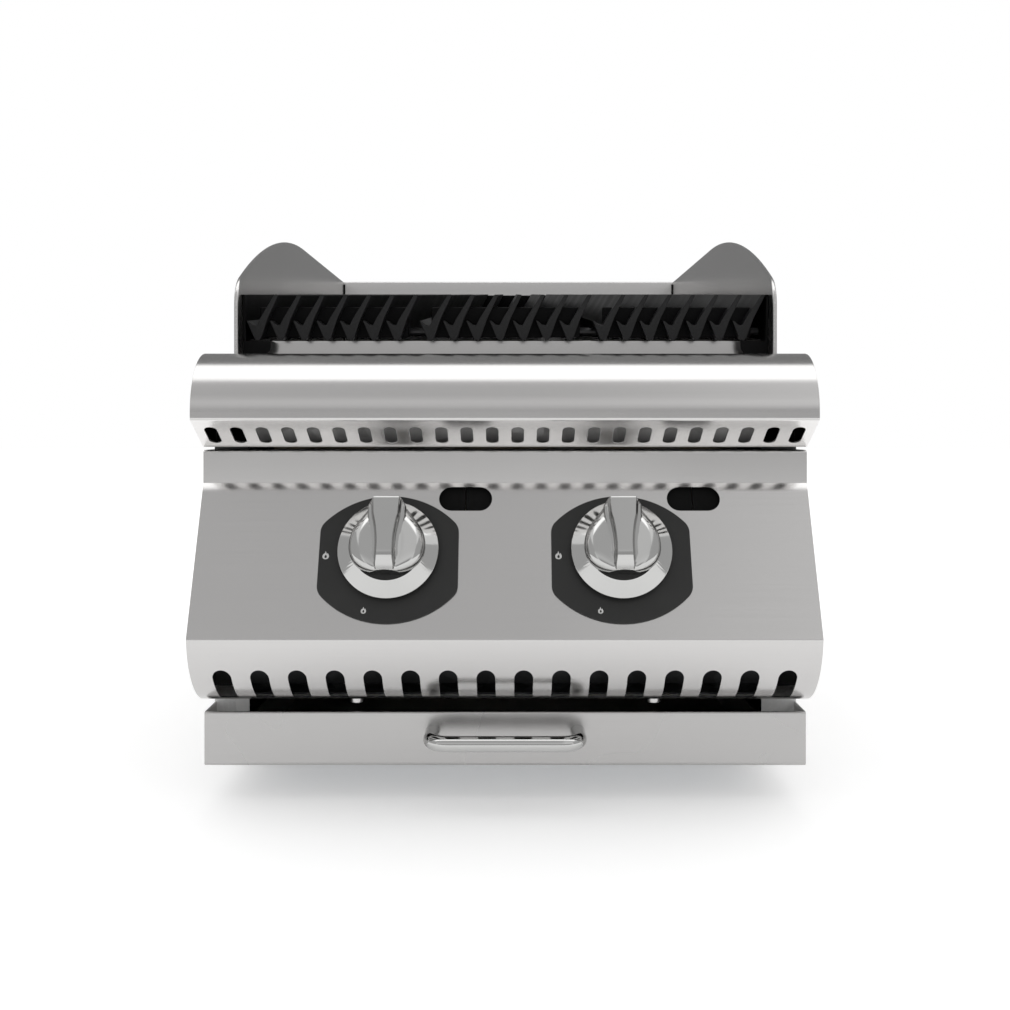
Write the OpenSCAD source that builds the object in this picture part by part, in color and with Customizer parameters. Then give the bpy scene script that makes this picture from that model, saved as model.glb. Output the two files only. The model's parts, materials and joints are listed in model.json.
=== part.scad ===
// Counter-top lava stone grill: sloped cast grates over a bed of lava stones, two tube
// burners, a raked control panel between two rolled noses, and a grease drawer.
// X runs to the right, Y to the back and Z up. The origin is on the table, under the middle.

/* [Overall size] */
// Width of the worktop, the noses and the control panel
unit_w = 400; // [400:5:480]
// Depth from the front of the lower nose to the end of the gas inlet
overall_d = 600; // [590:5:700]
// Height of the worktop above the table
deck_z = 300; // [296:2:340]
// Thickness of the worktop sheet
deck_t = 1.5; // [1.2:0.1:2]
// Thickness of the body, panel, drawer and firebox sheets
sheet_t = 1.2; // [0.8:0.1:1.5]

/* [Upper nose] */
// Outer radius of the rolled front of the worktop
nose_r = 39.5; // [36:0.5:40]
// How far the upper nose stays behind the lower one
nose_setback = 8.7; // [6:0.1:12]
// Straight stretch under the roll, down to the fold
nose_drop = 4.8; // [3:0.1:7]
// Depth of the slotted underside, front to back
undercut_d = 32; // [30:0.5:34]
// Height of the slotted underside
undercut_h = 17.9; // [16:0.1:19]
// Distance between those slots
nose_slot_pitch = 16.5; // [14:0.5:16.5]
// Width of one of those slots
nose_slot_w = 8; // [6:0.5:9]
// Length of one of those slots, along the underside
nose_slot_len = 21.5; // [16:0.5:24]

/* [Control panel] */
// How far the lower nose stands in front of the upright strip
panel_rake = 41.4; // [36:0.2:46]
// Gap between the upper nose and the panel
panel_gap = 2; // [1:0.5:4]
// Height of the upright strip above the raked face
strip_h = 21.8; // [18:0.2:26]
// Outer radius of the lower nose
lower_nose_r = 56; // [52:0.5:62]
// Height of the lower nose, from its lip to the crease
lower_nose_h = 45.9; // [42:0.1:50]
// Depth of the lower nose, from its lip to the crease
lower_nose_d = 37.4; // [35:0.1:39]
// Distance between those slots
lower_slot_pitch = 24; // [18:0.5:24]
// Width of one of those slots
lower_slot_w = 12; // [8:0.5:14]
// Height of those slots above the lip
lower_slot_h = 25.3; // [18:0.1:30]
// Length of a lighting window
window_len = 35; // [28:1:40]
// Height of a lighting window, along the raked face
window_h = 16.5; // [12:0.5:20]
// Distance from a knob to its lighting window
window_offset = 49; // [46:1:54]
// Distance of the windows below the fold, along the raked face
window_drop = 11.2; // [10:0.2:12]

/* [Knobs and bezels] */
// Distance between the two knobs, which is also that of the burners
knob_spacing = 150; // [140:2:156]
// Distance of the knob axis below the fold, along the raked face
knob_drop = 47.3; // [46:0.1:50]
// Diameter of the knob's skirt
knob_d = 65; // [58:1:68]
// Height of the knob above the panel
knob_h = 30; // [27:0.5:34]
// Free height under the skirt, which the push uses
knob_clearance = 5; // [4.9:0.1:6]
// Travel of the knob when it is pushed in
knob_push = 3; // [2:0.5:3]
// Width of the bezel between its flats
bezel_w = 90; // [86:1:94]
// Height of the bezel
bezel_h = 85; // [80:1:88]
// Radius of the bezel's top and bottom
bezel_arc_r = 59; // [56:1:66]
// Radius of the bezel's corners
bezel_corner_r = 10; // [4:1:12]
// Thickness of the bezel
bezel_t = 1.4; // [1:0.1:1.5]
// Distance of the bezel's middle below the fold
bezel_drop = 52.3; // [51:0.1:54]

/* [Grates] */
// Slope of the grates, up to the back, in degrees
grate_slope = 6.2; // [3:0.1:7]
// Gap behind the grates, up to the back of the guard
flue_gap = 41.2; // [38:0.2:80]
// Number of bars in one module
grate_bars = 7; // [5:1:7]
// Height of a bar's tip above the worktop, at the front
tip_rise = 12.1; // [11:0.1:16]
// Height of a bar's long arm
arm_h = 32.3; // [28:0.1:36]
// Gap between two modules
module_gap = 1; // [0.6:0.1:3]
// Diameter of the rods that carry the modules
rod_d = 6; // [5:0.5:6]

/* [Splash guard] */
// Height of the guard above the worktop
guard_h = 112; // [106:1:130]
// Thickness of the guard's sheets
guard_t = 1.5; // [1:0.1:2]
// Distance from the guard's outside to the side of the worktop
guard_inset = 12.5; // [10:0.5:16]
// Length of the curved stretch along the top, from the front
guard_curve_len = 257.4; // [230:0.2:280]
// Radius of the long curve down to the front
guard_arc_r = 567; // [480:1:640]
// Radius of the upper front corner
guard_corner_r = 24; // [16:1:30]

/* [Firebox and lava stones] */
// Distance from the firebox walls to the sides of the worktop
firebox_inset = 35; // [35:0.5:38]
// Stones across the bed
stones_across = 7; // [5:1:8]
// Stones along the bed
stones_along = 9; // [6:1:11]
// Height of the tallest lava stone
stone_h = 50; // [38:1:52]
// Depth of the stone grid's top below the worktop
grid_drop = 64; // [60:1:68]
// Diameter of a burner tube
burner_d = 32; // [26:1:34]
// Height from the middle of a burner to the stone grid's top
burner_drop = 36; // [32:1:38]

/* [Drawer and feet] */
// Height of the feet
foot_h = 25; // [22:1:30]
// Diameter of a foot at its top
foot_d = 36; // [30:1:38]
// Height of the drawer front
drawer_h = 35.9; // [34:0.1:40]
// Free height between drawer and lower nose
drawer_gap = 9.6; // [8:0.2:14]
// Gap between the tray and the flange on each side of the body
tray_side_gap = 4; // [2:0.5:12]
// Distance between the legs of the handle
handle_centres = 96; // [80:4:128]
// Diameter of the handle's rod
handle_d = 10; // [8:0.5:12]
// Reach of the handle, from the drawer to the middle of its rod
handle_reach = 29; // [26:0.5:34]

/* [Hidden] */
$fn = 64;

// Overrun of every cut beyond the faces that it opens
cut = 1;
// Gap between pieces that are seated but not pressed together
seat_gap = 0.3;
// Radial clearance of a turning or sliding shaft
shaft_gap = 0.05;

// Levels from the table up
drawer_drop_gap = 1.4;
drawer_z = foot_h + drawer_drop_gap;
drawer_top_z = drawer_z + drawer_h;
lip_z = drawer_top_z + drawer_gap;
crease_z = lip_z + lower_nose_h;
bend_z = deck_z - nose_r - nose_drop;
undercut_z = bend_z - undercut_h;
strip_top_z = undercut_z - panel_gap;
slope_top_z = strip_top_z - strip_h;
deck_under_z = deck_z - deck_t;
firebox_bottom_rise = 18;
firebox_bottom_z = drawer_top_z + firebox_bottom_rise;
grid_top_z = deck_z - grid_drop;
burner_z = grid_top_z - burner_drop;

// Rake of the control panel from the upright
rake_a = atan2(panel_rake, slope_top_z - crease_z);
// How far the knobs stand in front of the lower nose
grip_low = 21;
knob_front = (knob_drop + grip_low) * sin(rake_a) + knob_h * cos(rake_a) - panel_rake;

// Stations from front to back
front_y = (knob_front - overall_d) / 2;
strip_y = front_y + panel_rake;
nose_y = front_y + nose_setback;
body_setback = 29.2;
body_y = strip_y + body_setback;
inlet_len = 17;
inlet_end_y = front_y + overall_d;
rear_y = inlet_end_y - inlet_len;
deck_overhang = 7;
deck_back_y = rear_y + deck_overhang;
guard_back_inset = 2.6;
guard_back_y = deck_back_y - guard_back_inset;
guard_front_setback = 8.4;
guard_front_y = body_y + guard_front_setback;
firebox_front_setback = 34.4;
firebox_front_y = body_y + firebox_front_setback;
firebox_back_setback = 18;
firebox_back_y = rear_y - firebox_back_setback;

// Gas ports: both ports of a tap leave it at about port_z
port_drop = 64;
outlet_rise = 22;
inlet_drop = 32;
outlet_setback = 4;
port_z = slope_top_z - port_drop;
outlet_y = body_y - outlet_setback;
outlet_z = port_z + outlet_rise;
inlet_z = port_z - inlet_drop;

// Half widths
half_w = unit_w / 2;
inner_w = half_w - sheet_t;
firebox_w = half_w - firebox_inset;
knob_x = knob_spacing / 2;

// A box between its lowest and highest corners
module block(lo, hi) {
    translate(lo) cube(hi - lo);
}

// An outline drawn in Y and Z, stretched along X
module along_x(x0, x1) {
    translate([x0, 0, 0]) rotate([90, 0, 90]) linear_extrude(x1 - x0) children();
}

// A piece and its mirror image on the right
module both_sides() {
    children();
    mirror([1, 0, 0]) children();
}

// A slot with round ends, centred, long side along X
module slot_outline(len, w) {
    square([len - w, w], center = true);
    for (side = [-1, 1])
        translate([side * (len - w) / 2, 0]) circle(d = w);
}

// A slice of a disc between two angles, less than half a turn
module sector(c, r, a0, a1) {
    reach = 2 * r;
    mid = (a0 + a1) / 2;
    translate(c) intersection() {
        circle(r);
        polygon([[0, 0], reach * [cos(a0), sin(a0)], reach * [cos(mid), sin(mid)],
                 reach * [cos(a1), sin(a1)]]);
    }
}

// A rolled stretch of sheet: outer radius r, thickness t
module rolled(c, r, t, a0, a1) {
    difference() {
        sector(c, r, a0, a1);
        translate(c) circle(r - t);
    }
}

function unit(v) = v / norm(v);
function left_of(v) = [-v[1], v[0]];
function polar(c, r, a) = c + r * [cos(a), sin(a)];
function arc_points(c, r, a0, a1, steps) =
    [for (i = [0 : steps]) polar(c, r, a0 + (a1 - a0) * i / steps)];
function angle_of(v) = atan2(v[1], v[0]);
// How many pieces of one width fit into a length at a given pitch
function fitting(length, width, pitch) = floor((length - width) / pitch) + 1;
// The corner at q of a path p, q, r that is moved to its left by t
function mitre(p, q, r, t) =
    let (a = left_of(unit(q - p)), b = left_of(unit(r - q))) q + t * (a + b) / (1 + a * b);
// The centre of an arc of radius r from p to q, on the left of that way
function arc_centre(p, q, r) =
    (p + q) / 2 + left_of(unit(q - p)) * sqrt(r * r - pow(norm(q - p) / 2, 2));

// A folded sheet whose outside follows the points, with its thickness on the left
module folded(pts, t) {
    last = len(pts) - 1;
    inner = [for (i = [0 : last])
        i == 0 ? pts[0] + t * left_of(unit(pts[1] - pts[0]))
        : i == last ? pts[last] + t * left_of(unit(pts[last] - pts[last - 1]))
        : mitre(pts[i - 1], pts[i], pts[i + 1], t)];
    polygon(concat(pts, [for (i = [last : -1 : 0]) inner[i]]));
}

// A round bar from p to q
module bar(p, q, d) {
    v = q - p;
    translate(p)
        rotate([0, acos(v[2] / norm(v)), atan2(v[1], v[0])])
            cylinder(d = d, h = norm(v));
}

// Places its children on the raked face, with Z out of the panel and Y up the slope
module on_panel(x, drop) {
    translate([x, strip_y - drop * sin(rake_a), slope_top_z - drop * cos(rake_a)])
        rotate([90 - rake_a, 0, 0]) children();
}

// Feet, the bolts that hold them, and the flanges that they pass through
steel_color = "silver";
flange_w = 24;
top_flange_w = 20;
inlet_nut_d = 30;
rear_flange_w = 9;
tray_w = unit_w - 2 * (flange_w + tray_side_gap);
foot_side_inset = 2;
foot_front_setback = 90;
foot_rear_setback = 60;
foot_x = half_w - foot_d / 2 - foot_side_inset;
foot_ys = [body_y + foot_front_setback, rear_y - foot_rear_setback];
foot_taper_share = 0.86;
foot_chamfer = 2;
bolt_d = 8;
bolt_hole_d = 8.6;
nut_d = 13;
nut_h = 5;
bolt_head_recess = 3;
pan_z = foot_h + sheet_t;
pan_top_z = pan_z + sheet_t;

module at_feet() {
    for (x = [-foot_x, foot_x], y = foot_ys)
        translate([x, y, 0]) children();
}

module feet() {
    color("dimgray") at_feet() difference() {
        rotate_extrude() polygon([
            [0, 0], [foot_taper_share * foot_d / 2 - foot_chamfer, 0],
            [foot_taper_share * foot_d / 2, foot_chamfer],
            [foot_d / 2, foot_h], [0, foot_h]]);
        translate([0, 0, bolt_head_recess]) cylinder(d = bolt_hole_d, h = foot_h);
    }
}

module foot_bolts() {
    color("gray") at_feet() {
        translate([0, 0, bolt_head_recess])
            cylinder(d = bolt_d, h = pan_top_z + nut_h - bolt_head_recess);
        translate([0, 0, pan_top_z]) cylinder(d = nut_d, h = nut_h, $fn = 6);
    }
}

module bolt_holes() {
    at_feet() cylinder(d = bolt_hole_d, h = pan_top_z + cut);
}

// Body sheets
rear_flange_y = rear_y - 2 * sheet_t;

module base_pan() {
    color(steel_color) difference() {
        block([-inner_w + seat_gap, body_y + sheet_t, pan_z],
              [inner_w - seat_gap, rear_flange_y, pan_top_z]);
        bolt_holes();
    }
}

module side_panel() {
    color(steel_color) difference() {
        union() {
            block([-half_w, body_y, foot_h], [-inner_w, rear_y, deck_under_z]);
            block([-half_w, body_y, foot_h],
                  [-half_w + flange_w, body_y + sheet_t, undercut_z]);
            block([-half_w, body_y, foot_h], [-half_w + flange_w, rear_flange_y, pan_z]);
            block([-half_w, body_y, deck_under_z - sheet_t],
                  [-half_w + top_flange_w, rear_flange_y, deck_under_z]);
            block([-half_w, rear_flange_y, foot_h],
                  [-half_w + rear_flange_w, rear_y - sheet_t, deck_under_z]);
        }
        bolt_holes();
    }
}
module side_panel_left() side_panel();
module side_panel_right() mirror([1, 0, 0]) side_panel();

// Rear panel, with rows of upright vents and the hole of the gas inlet
vent_rows = 2;
vents_in_row = 14;
vent_w = 6;
vent_len = 34;
vent_pitch_share = 0.058;
vent_row_pitch = 52;
vent_top_setback = 62;
inlet_d = 20.96;
inlet_inset = 22.5;
inlet_x = half_w - inlet_inset;
inlet_hole_d = 22.4;
rear_screw_inset = 5.5;
rear_screw_xs = [rear_screw_inset - half_w, half_w - rear_screw_inset];
rear_screw_setback = 30;
rear_screw_zs = [foot_h + rear_screw_setback, deck_z - rear_screw_setback];
small_screw_d = 4;
small_head_d = 7.6;
small_head_h = 2;
small_hole_d = 4.4;

module at_rear_screws() {
    for (x = rear_screw_xs, z = rear_screw_zs)
        translate([x, rear_y, z]) rotate([90, 0, 0]) children();
}

module rear_panel() {
    color(steel_color) difference() {
        block([-inner_w + seat_gap, rear_y - sheet_t, foot_h],
              [inner_w - seat_gap, rear_y, deck_under_z]);
        for (row = [0 : vent_rows - 1], i = [0 : vents_in_row - 1])
            translate([(i - (vents_in_row - 1) / 2) * vent_pitch_share * unit_w,
                       rear_y + cut, deck_z - vent_top_setback - row * vent_row_pitch])
                rotate([90, 90, 0]) linear_extrude(sheet_t + 2 * cut)
                    slot_outline(vent_len, vent_w);
        translate([inlet_x, rear_y - sheet_t - cut, inlet_z]) rotate([-90, 0, 0])
            cylinder(d = inlet_hole_d, h = sheet_t + 2 * cut);
        at_rear_screws() translate([0, 0, -cut])
            cylinder(d = small_hole_d, h = sheet_t + 2 * cut);
    }
}

module rear_screws() {
    color("gray") at_rear_screws() {
        translate([0, 0, -small_head_h]) cylinder(d = small_head_d, h = small_head_h);
        translate([0, 0, -small_head_h]) cylinder(d = small_screw_d, h = small_head_h + sheet_t);
    }
}

// Cross bars between the side panels: the upper one shows through the upper vent slots
crossbar_y = body_y + sheet_t;
crossbar_w = half_w - flange_w;
crossbar_ear_h = 24;
crossbar_flange = 14;
bracket_h = 26;
bracket_reach = 26;

module front_crossbar() {
    top = deck_under_z - sheet_t;
    color(steel_color) {
        block([-crossbar_w, crossbar_y, undercut_z], [crossbar_w, crossbar_y + sheet_t, top]);
        block([-inner_w + seat_gap, crossbar_y, top - crossbar_ear_h],
              [inner_w - seat_gap, crossbar_y + sheet_t, top]);
        block([-crossbar_w, crossbar_y, undercut_z],
              [crossbar_w, crossbar_y + crossbar_flange, undercut_z + sheet_t]);
    }
}

module lower_crossbar() {
    low = lip_z + sheet_t;
    color("gray") difference() {
        union() {
            block([-inner_w + seat_gap, crossbar_y, low],
                  [inner_w - seat_gap, crossbar_y + sheet_t, low + bracket_h]);
            block([-crossbar_w + seat_gap, crossbar_y - bracket_reach, low],
                  [crossbar_w - seat_gap, crossbar_y + sheet_t, low + sheet_t]);
        }
        at_lip_screws() translate([0, 0, -cut])
            cylinder(d = small_hole_d, h = 2 * sheet_t + 2 * cut);
    }
}

// The two screws that hold the panel's lip to the lower cross bar
lip_screw_inset = 100;
lip_screw_x = half_w - lip_screw_inset;
lip_screw_setback = 14;
lip_screw_y = body_y - lip_screw_setback;
lip_head_d = 10.3;
lip_head_h = 4;

module at_lip_screws() {
    for (x = [-lip_screw_x, lip_screw_x])
        translate([x, lip_screw_y, lip_z]) children();
}

module lip_screws() {
    color("silver") at_lip_screws() {
        translate([0, 0, -lip_head_h]) cylinder(d = lip_head_d, h = lip_head_h);
        translate([0, 0, -lip_head_h])
            cylinder(d = small_screw_d, h = lip_head_h + 3 * sheet_t);
    }
}

// Worktop with the rolled upper nose, and the caps that close its ends
nose_centre = [nose_y + nose_r, deck_z - nose_r];
nose_bend = [nose_y, bend_z];
nose_edge = [nose_y + undercut_d, undercut_z];
undercut_a = atan2(undercut_h, undercut_d);
nose_slot_start_share = 0.56;
nose_slot_margin = 6;
nose_slots = fitting(unit_w - 2 * nose_slot_margin, nose_slot_w, nose_slot_pitch);
opening_lip = 5;

module top_plate() {
    color(steel_color) difference() {
        along_x(-half_w, half_w) {
            translate([nose_centre[0], deck_under_z])
                square([deck_back_y - nose_centre[0], deck_t]);
            rolled(nose_centre, nose_r, deck_t, 90, 180);
            folded([[nose_y, nose_centre[1]], nose_bend, nose_edge], deck_t);
        }
        block([-firebox_w + opening_lip, firebox_front_y + opening_lip, deck_under_z - cut],
              [firebox_w - opening_lip, firebox_back_y - opening_lip, deck_z + cut]);
        nose_slots();
    }
}

module nose_slots() {
    middle = nose_bend + nose_slot_start_share * (nose_edge - nose_bend);
    for (i = [0 : nose_slots - 1])
        translate([(i - (nose_slots - 1) / 2) * nose_slot_pitch, middle[0], middle[1]])
            rotate([-undercut_a, 0, 0]) translate([0, 0, -deck_t])
                linear_extrude(2 * deck_t + cut) rotate(90)
                    slot_outline(nose_slot_len, nose_slot_w);
}

module nose_end_caps() {
    r = nose_r - deck_t - seat_gap;
    t = deck_t + seat_gap;
    below_bend = mitre([nose_y, nose_centre[1]], nose_bend, nose_edge, t);
    at_edge = nose_edge + t * left_of(unit(nose_edge - nose_bend));
    back = body_y - seat_gap;
    color(steel_color) both_sides() along_x(-half_w, -inner_w) {
        sector(nose_centre, r, 90, 180);
        polygon([[back, deck_z - t], [nose_centre[0], deck_z - t], nose_centre,
                 [nose_y + t, nose_centre[1]], below_bend, at_edge, [back, at_edge[1]]]);
    }
}

// Control panel: return, upright strip, raked face, slotted lower nose and lip
crease = [front_y, crease_z];
lip_edge = [front_y + lower_nose_d, lip_z];
lip_back_y = body_y - seat_gap;
lower_centre = arc_centre(crease, lip_edge, lower_nose_r);
lower_a0 = angle_of(crease - lower_centre);
lower_a1 = angle_of(lip_edge - lower_centre);
spindle_hole_d = 14;
lower_slot_margin = 13;
lower_slots = fitting(unit_w - 2 * lower_slot_margin, lower_slot_w, lower_slot_pitch);

module control_panel() {
    color(steel_color) difference() {
        along_x(-half_w, half_w) {
            folded([[lip_back_y, strip_top_z], [strip_y, strip_top_z],
                    [strip_y, slope_top_z], crease], sheet_t);
            rolled(lower_centre, lower_nose_r, sheet_t, lower_a0, lower_a1);
            folded([lip_edge, [lip_back_y, lip_z]], sheet_t);
        }
        lower_slots();
        for (side = [-1, 1]) {
            on_panel(side * knob_x, knob_drop) translate([0, 0, -sheet_t - cut])
                cylinder(d = spindle_hole_d, h = sheet_t + 2 * cut);
            on_panel(side * knob_x + window_offset, window_drop)
                translate([0, 0, -sheet_t - cut]) linear_extrude(sheet_t + 2 * cut)
                    slot_outline(window_len, window_h);
        }
        at_lip_screws() translate([0, 0, -cut])
            cylinder(d = small_hole_d, h = sheet_t + 2 * cut);
    }
}

module lower_slots() {
    low = lip_z + 2 * sheet_t;
    top = lip_z + lower_slot_h;
    depth = lower_nose_d - sheet_t;
    for (i = [0 : lower_slots - 1])
        translate([(i - (lower_slots - 1) / 2) * lower_slot_pitch, front_y + depth, 0])
            rotate([90, 0, 0]) linear_extrude(depth + cut) {
                translate([-lower_slot_w / 2, low])
                    square([lower_slot_w, top - lower_slot_w / 2 - low]);
                translate([0, top - lower_slot_w / 2]) circle(d = lower_slot_w);
            }
}

module panel_end_caps() {
    t = sheet_t + seat_gap;
    r = lower_nose_r - t;
    color(steel_color) both_sides() along_x(-half_w, -inner_w) {
        sector(lower_centre, r, lower_a0, lower_a1);
        polygon([
            [lip_back_y, strip_top_z - t],
            mitre([lip_back_y, strip_top_z], [strip_y, strip_top_z], [strip_y, slope_top_z], t),
            mitre([strip_y, strip_top_z], [strip_y, slope_top_z], crease, t),
            polar(lower_centre, r, lower_a0), lower_centre, polar(lower_centre, r, lower_a1),
            [lip_back_y, lip_z + t]]);
    }
}

// Bezels behind the knobs
module bezel_outline() {
    offset(r = bezel_corner_r) offset(delta = -bezel_corner_r) intersection() {
        square([bezel_w, bezel_h], center = true);
        translate([0, bezel_h / 2 - bezel_arc_r]) circle(bezel_arc_r);
        translate([0, bezel_arc_r - bezel_h / 2]) circle(bezel_arc_r);
    }
}

module bezel(side) {
    color("#30302e") difference() {
        on_panel(side * knob_x, bezel_drop) linear_extrude(bezel_t) bezel_outline();
        on_panel(side * knob_x, knob_drop) translate([0, 0, -cut])
            cylinder(d = spindle_hole_d, h = bezel_t + 2 * cut);
    }
}
module bezel_left() bezel(-1);
module bezel_right() bezel(1);

// Knob: a round skirt, a drop-shaped dome and a flat grip with hollow sides
spindle_d = 8;
skirt_edge_h = 1.6;
skirt_h = 8;
dome_d = 49;
dome_low = 1.5;
dome_ledge = 3;
dome_rise = 11;
dome_angles = [0, 20, 40, 60];
dome_tip_reach = 22.5;
dome_tip_r = 4;
grip_top = 27.5;
grip_top_w = 16;
grip_waist_w = 9.5;
grip_end_w = 11;
knob_floor = 4;
knob_under = 3;

module knob(side) {
    dome_z = knob_clearance + skirt_h;
    dome_r = dome_d / 2;
    color("gainsboro") on_panel(side * knob_x, knob_drop) difference() {
        union() {
            rotate_extrude() polygon([
                [0, knob_clearance], [knob_d / 2, knob_clearance],
                [knob_d / 2, knob_clearance + skirt_edge_h], [dome_r + dome_ledge, dome_z],
                [0, dome_z]]);
            hull() {
                for (a = dome_angles)
                    translate([0, -dome_low, dome_z - dome_low])
                        cylinder(r = dome_r * cos(a), h = dome_low + dome_rise * sin(a), $fn = 32);
                translate([0, dome_tip_reach, dome_z - dome_low])
                    cylinder(r = dome_tip_r, h = dome_low + dome_rise, $fn = 16);
            }
            translate([0, 0, dome_z - dome_low / 2])
                linear_extrude(knob_h - dome_z + dome_low / 2) grip_outline();
        }
        translate([0, 0, knob_clearance - cut])
            cylinder(d = spindle_d + 2 * shaft_gap, h = knob_h - knob_floor - knob_clearance + cut);
        translate([0, 0, knob_clearance - cut])
            cylinder(d = dome_d - 2 * knob_under, h = knob_under + cut);
    }
}

module grip_outline() {
    half_len = (grip_top + grip_low) / 2;
    depth = (grip_top_w - grip_waist_w) / 2;
    side_r = (half_len * half_len + depth * depth) / (2 * depth);
    difference() {
        polygon([[-grip_top_w / 2, grip_top], [grip_top_w / 2, grip_top],
                 [grip_end_w / 2, -grip_low], [-grip_end_w / 2, -grip_low]]);
        for (side = [-1, 1])
            translate([side * (grip_waist_w / 2 + side_r), -dome_tip_r]) circle(side_r);
    }
}
module knob_left() knob(-1);
module knob_right() knob(1);

// Spindle, turning cone and body of a gas tap, on the knob's axis
neck_len = 20;
neck_d = 20;
cone_front_d = 16;
cone_back_d = 13;
cone_len = 28;
tap_d = 27;
tap_tail = 14;
socket_depth = 18;
spindle_end_gap = 1.5;
inlet_neck_d = 14;
outlet_nut_d = 15;
outlet_nut_h = 9;
neck_back = -sheet_t - neck_len;
cone_front = neck_back - seat_gap;
cone_back = cone_front - cone_len;
tap_back = cone_back - tap_tail;

module spindle(side) {
    low = cone_front - socket_depth + knob_push + spindle_end_gap;
    color("goldenrod") on_panel(side * knob_x, knob_drop) translate([0, 0, low])
        cylinder(d = spindle_d, h = knob_h - knob_floor - seat_gap - low);
}
module spindle_left() spindle(-1);
module spindle_right() spindle(1);

module tap_cone(side) {
    color("darkgoldenrod") on_panel(side * knob_x, knob_drop) difference() {
        translate([0, 0, cone_back])
            cylinder(d1 = cone_back_d, d2 = cone_front_d, h = cone_len);
        translate([0, 0, cone_front - socket_depth])
            cylinder(d = spindle_d + 2 * shaft_gap, h = socket_depth + cut);
    }
}
module tap_cone_left() tap_cone(-1);
module tap_cone_right() tap_cone(1);

manifold_d = 21.3;
manifold_z = inlet_z;
manifold_setback = 15.4;
manifold_y = body_y + manifold_setback;
manifold_boss_d = 18;
manifold_boss_h = 13;

module gas_tap(side) {
    color("goldenrod") difference() {
        union() {
            on_panel(side * knob_x, knob_drop) {
                translate([0, 0, neck_back]) cylinder(d = neck_d, h = neck_len);
                translate([0, 0, tap_back]) cylinder(d = tap_d, h = neck_back - tap_back);
            }
            translate([side * knob_x, manifold_y, manifold_z + manifold_boss_h])
                cylinder(d = inlet_neck_d, h = port_z - manifold_z - manifold_boss_h);
            translate([side * knob_x, outlet_y, port_z])
                cylinder(d = inlet_neck_d, h = outlet_z - port_z);
            translate([side * knob_x, outlet_y, outlet_z - outlet_nut_h])
                cylinder(d = outlet_nut_d, h = outlet_nut_h, $fn = 6);
        }
        on_panel(side * knob_x, knob_drop) {
            translate([0, 0, cone_back])
                cylinder(d = spindle_d + 2 * shaft_gap, h = -cone_back + cut);
            translate([0, 0, cone_back - seat_gap])
                cylinder(d = cone_back_d + 2 * shaft_gap, h = 2 * seat_gap);
            translate([0, 0, cone_back])
                cylinder(d1 = cone_back_d + 2 * shaft_gap, d2 = cone_front_d + 2 * shaft_gap,
                         h = cone_len);
            translate([0, 0, cone_front])
                cylinder(d = cone_front_d + 2 * shaft_gap, h = seat_gap);
        }
    }
}
module gas_tap_left() gas_tap(-1);
module gas_tap_right() gas_tap(1);

// Gas pipes: manifold, supply pipe along the right side, and rear inlet
manifold_end = 30;
inlet_nut_h = 6;
inlet_lock_h = 3;
inlet_bore_d = 15;

module gas_manifold() {
    color("lightgray") {
        bar([-knob_x - manifold_end, manifold_y, manifold_z],
            [inlet_x, manifold_y, manifold_z], manifold_d);
        translate([inlet_x, manifold_y, manifold_z]) sphere(d = manifold_d);
        for (side = [-1, 1])
            translate([side * knob_x, manifold_y, manifold_z])
                cylinder(d = manifold_boss_d, h = manifold_boss_h);
    }
}

module supply_pipe() {
    color("lightgray")
        bar([inlet_x, manifold_y + manifold_d / 2 + seat_gap, manifold_z],
            [inlet_x, rear_y - sheet_t - inlet_nut_h - seat_gap, manifold_z], manifold_d);
}

module gas_inlet() {
    start = rear_y - sheet_t - inlet_nut_h;
    color("goldenrod") translate([inlet_x, start, inlet_z]) rotate([-90, 0, 0]) difference() {
        union() {
            rotate(30) cylinder(d = inlet_nut_d, h = inlet_nut_h, $fn = 6);
            translate([0, 0, inlet_nut_h + sheet_t]) rotate(30)
                cylinder(d = inlet_nut_d, h = inlet_lock_h, $fn = 6);
            cylinder(d = inlet_d, h = inlet_end_y - start);
        }
        translate([0, 0, inlet_nut_h])
            cylinder(d = inlet_bore_d, h = inlet_end_y - start);
    }
}

// Feed pipes from the taps up to the injectors
feed_d = 8;
feed_bend_r = 12;
feed_end_gap = 16;
injector_len = 10;
injector_d = 14;
jet_len = 4;
jet_d = 6;
throat_start_gap = 2;
injector_y = firebox_front_y - feed_end_gap;

module feed_pipe(side) {
    bend_y = outlet_y + feed_bend_r;
    color("peru") translate([side * knob_x, 0, 0]) {
        translate([0, outlet_y, outlet_z])
            cylinder(d = feed_d, h = burner_z - feed_bend_r - outlet_z);
        translate([0, bend_y, burner_z - feed_bend_r]) rotate([90, 0, -90])
            rotate_extrude(angle = 90) translate([feed_bend_r, 0]) circle(d = feed_d);
        bar([0, bend_y, burner_z], [0, injector_y - injector_len, burner_z], feed_d);
    }
}
module feed_pipe_left() feed_pipe(-1);
module feed_pipe_right() feed_pipe(1);

module injectors() {
    color("goldenrod") for (side = [-1, 1])
        translate([side * knob_x, injector_y - injector_len, burner_z]) rotate([-90, 0, 0]) {
            cylinder(d = injector_d, h = injector_len, $fn = 6);
            cylinder(d = jet_d, h = injector_len + jet_len);
        }
}

// Tube burners: a throat through the firebox front, slotted ports, a pin at the back
throat_d = 24;
throat_bore_d = 20;
burner_wall = 1.5;
throat_len = 30;
burner_port_w = 2.5;
burner_port_len = 16;
burner_ports = 18;
burner_pin_d = 8;
burner_pin_len = 12;
burner_end_gap = 10;
port_end_margin = 30;

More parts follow.
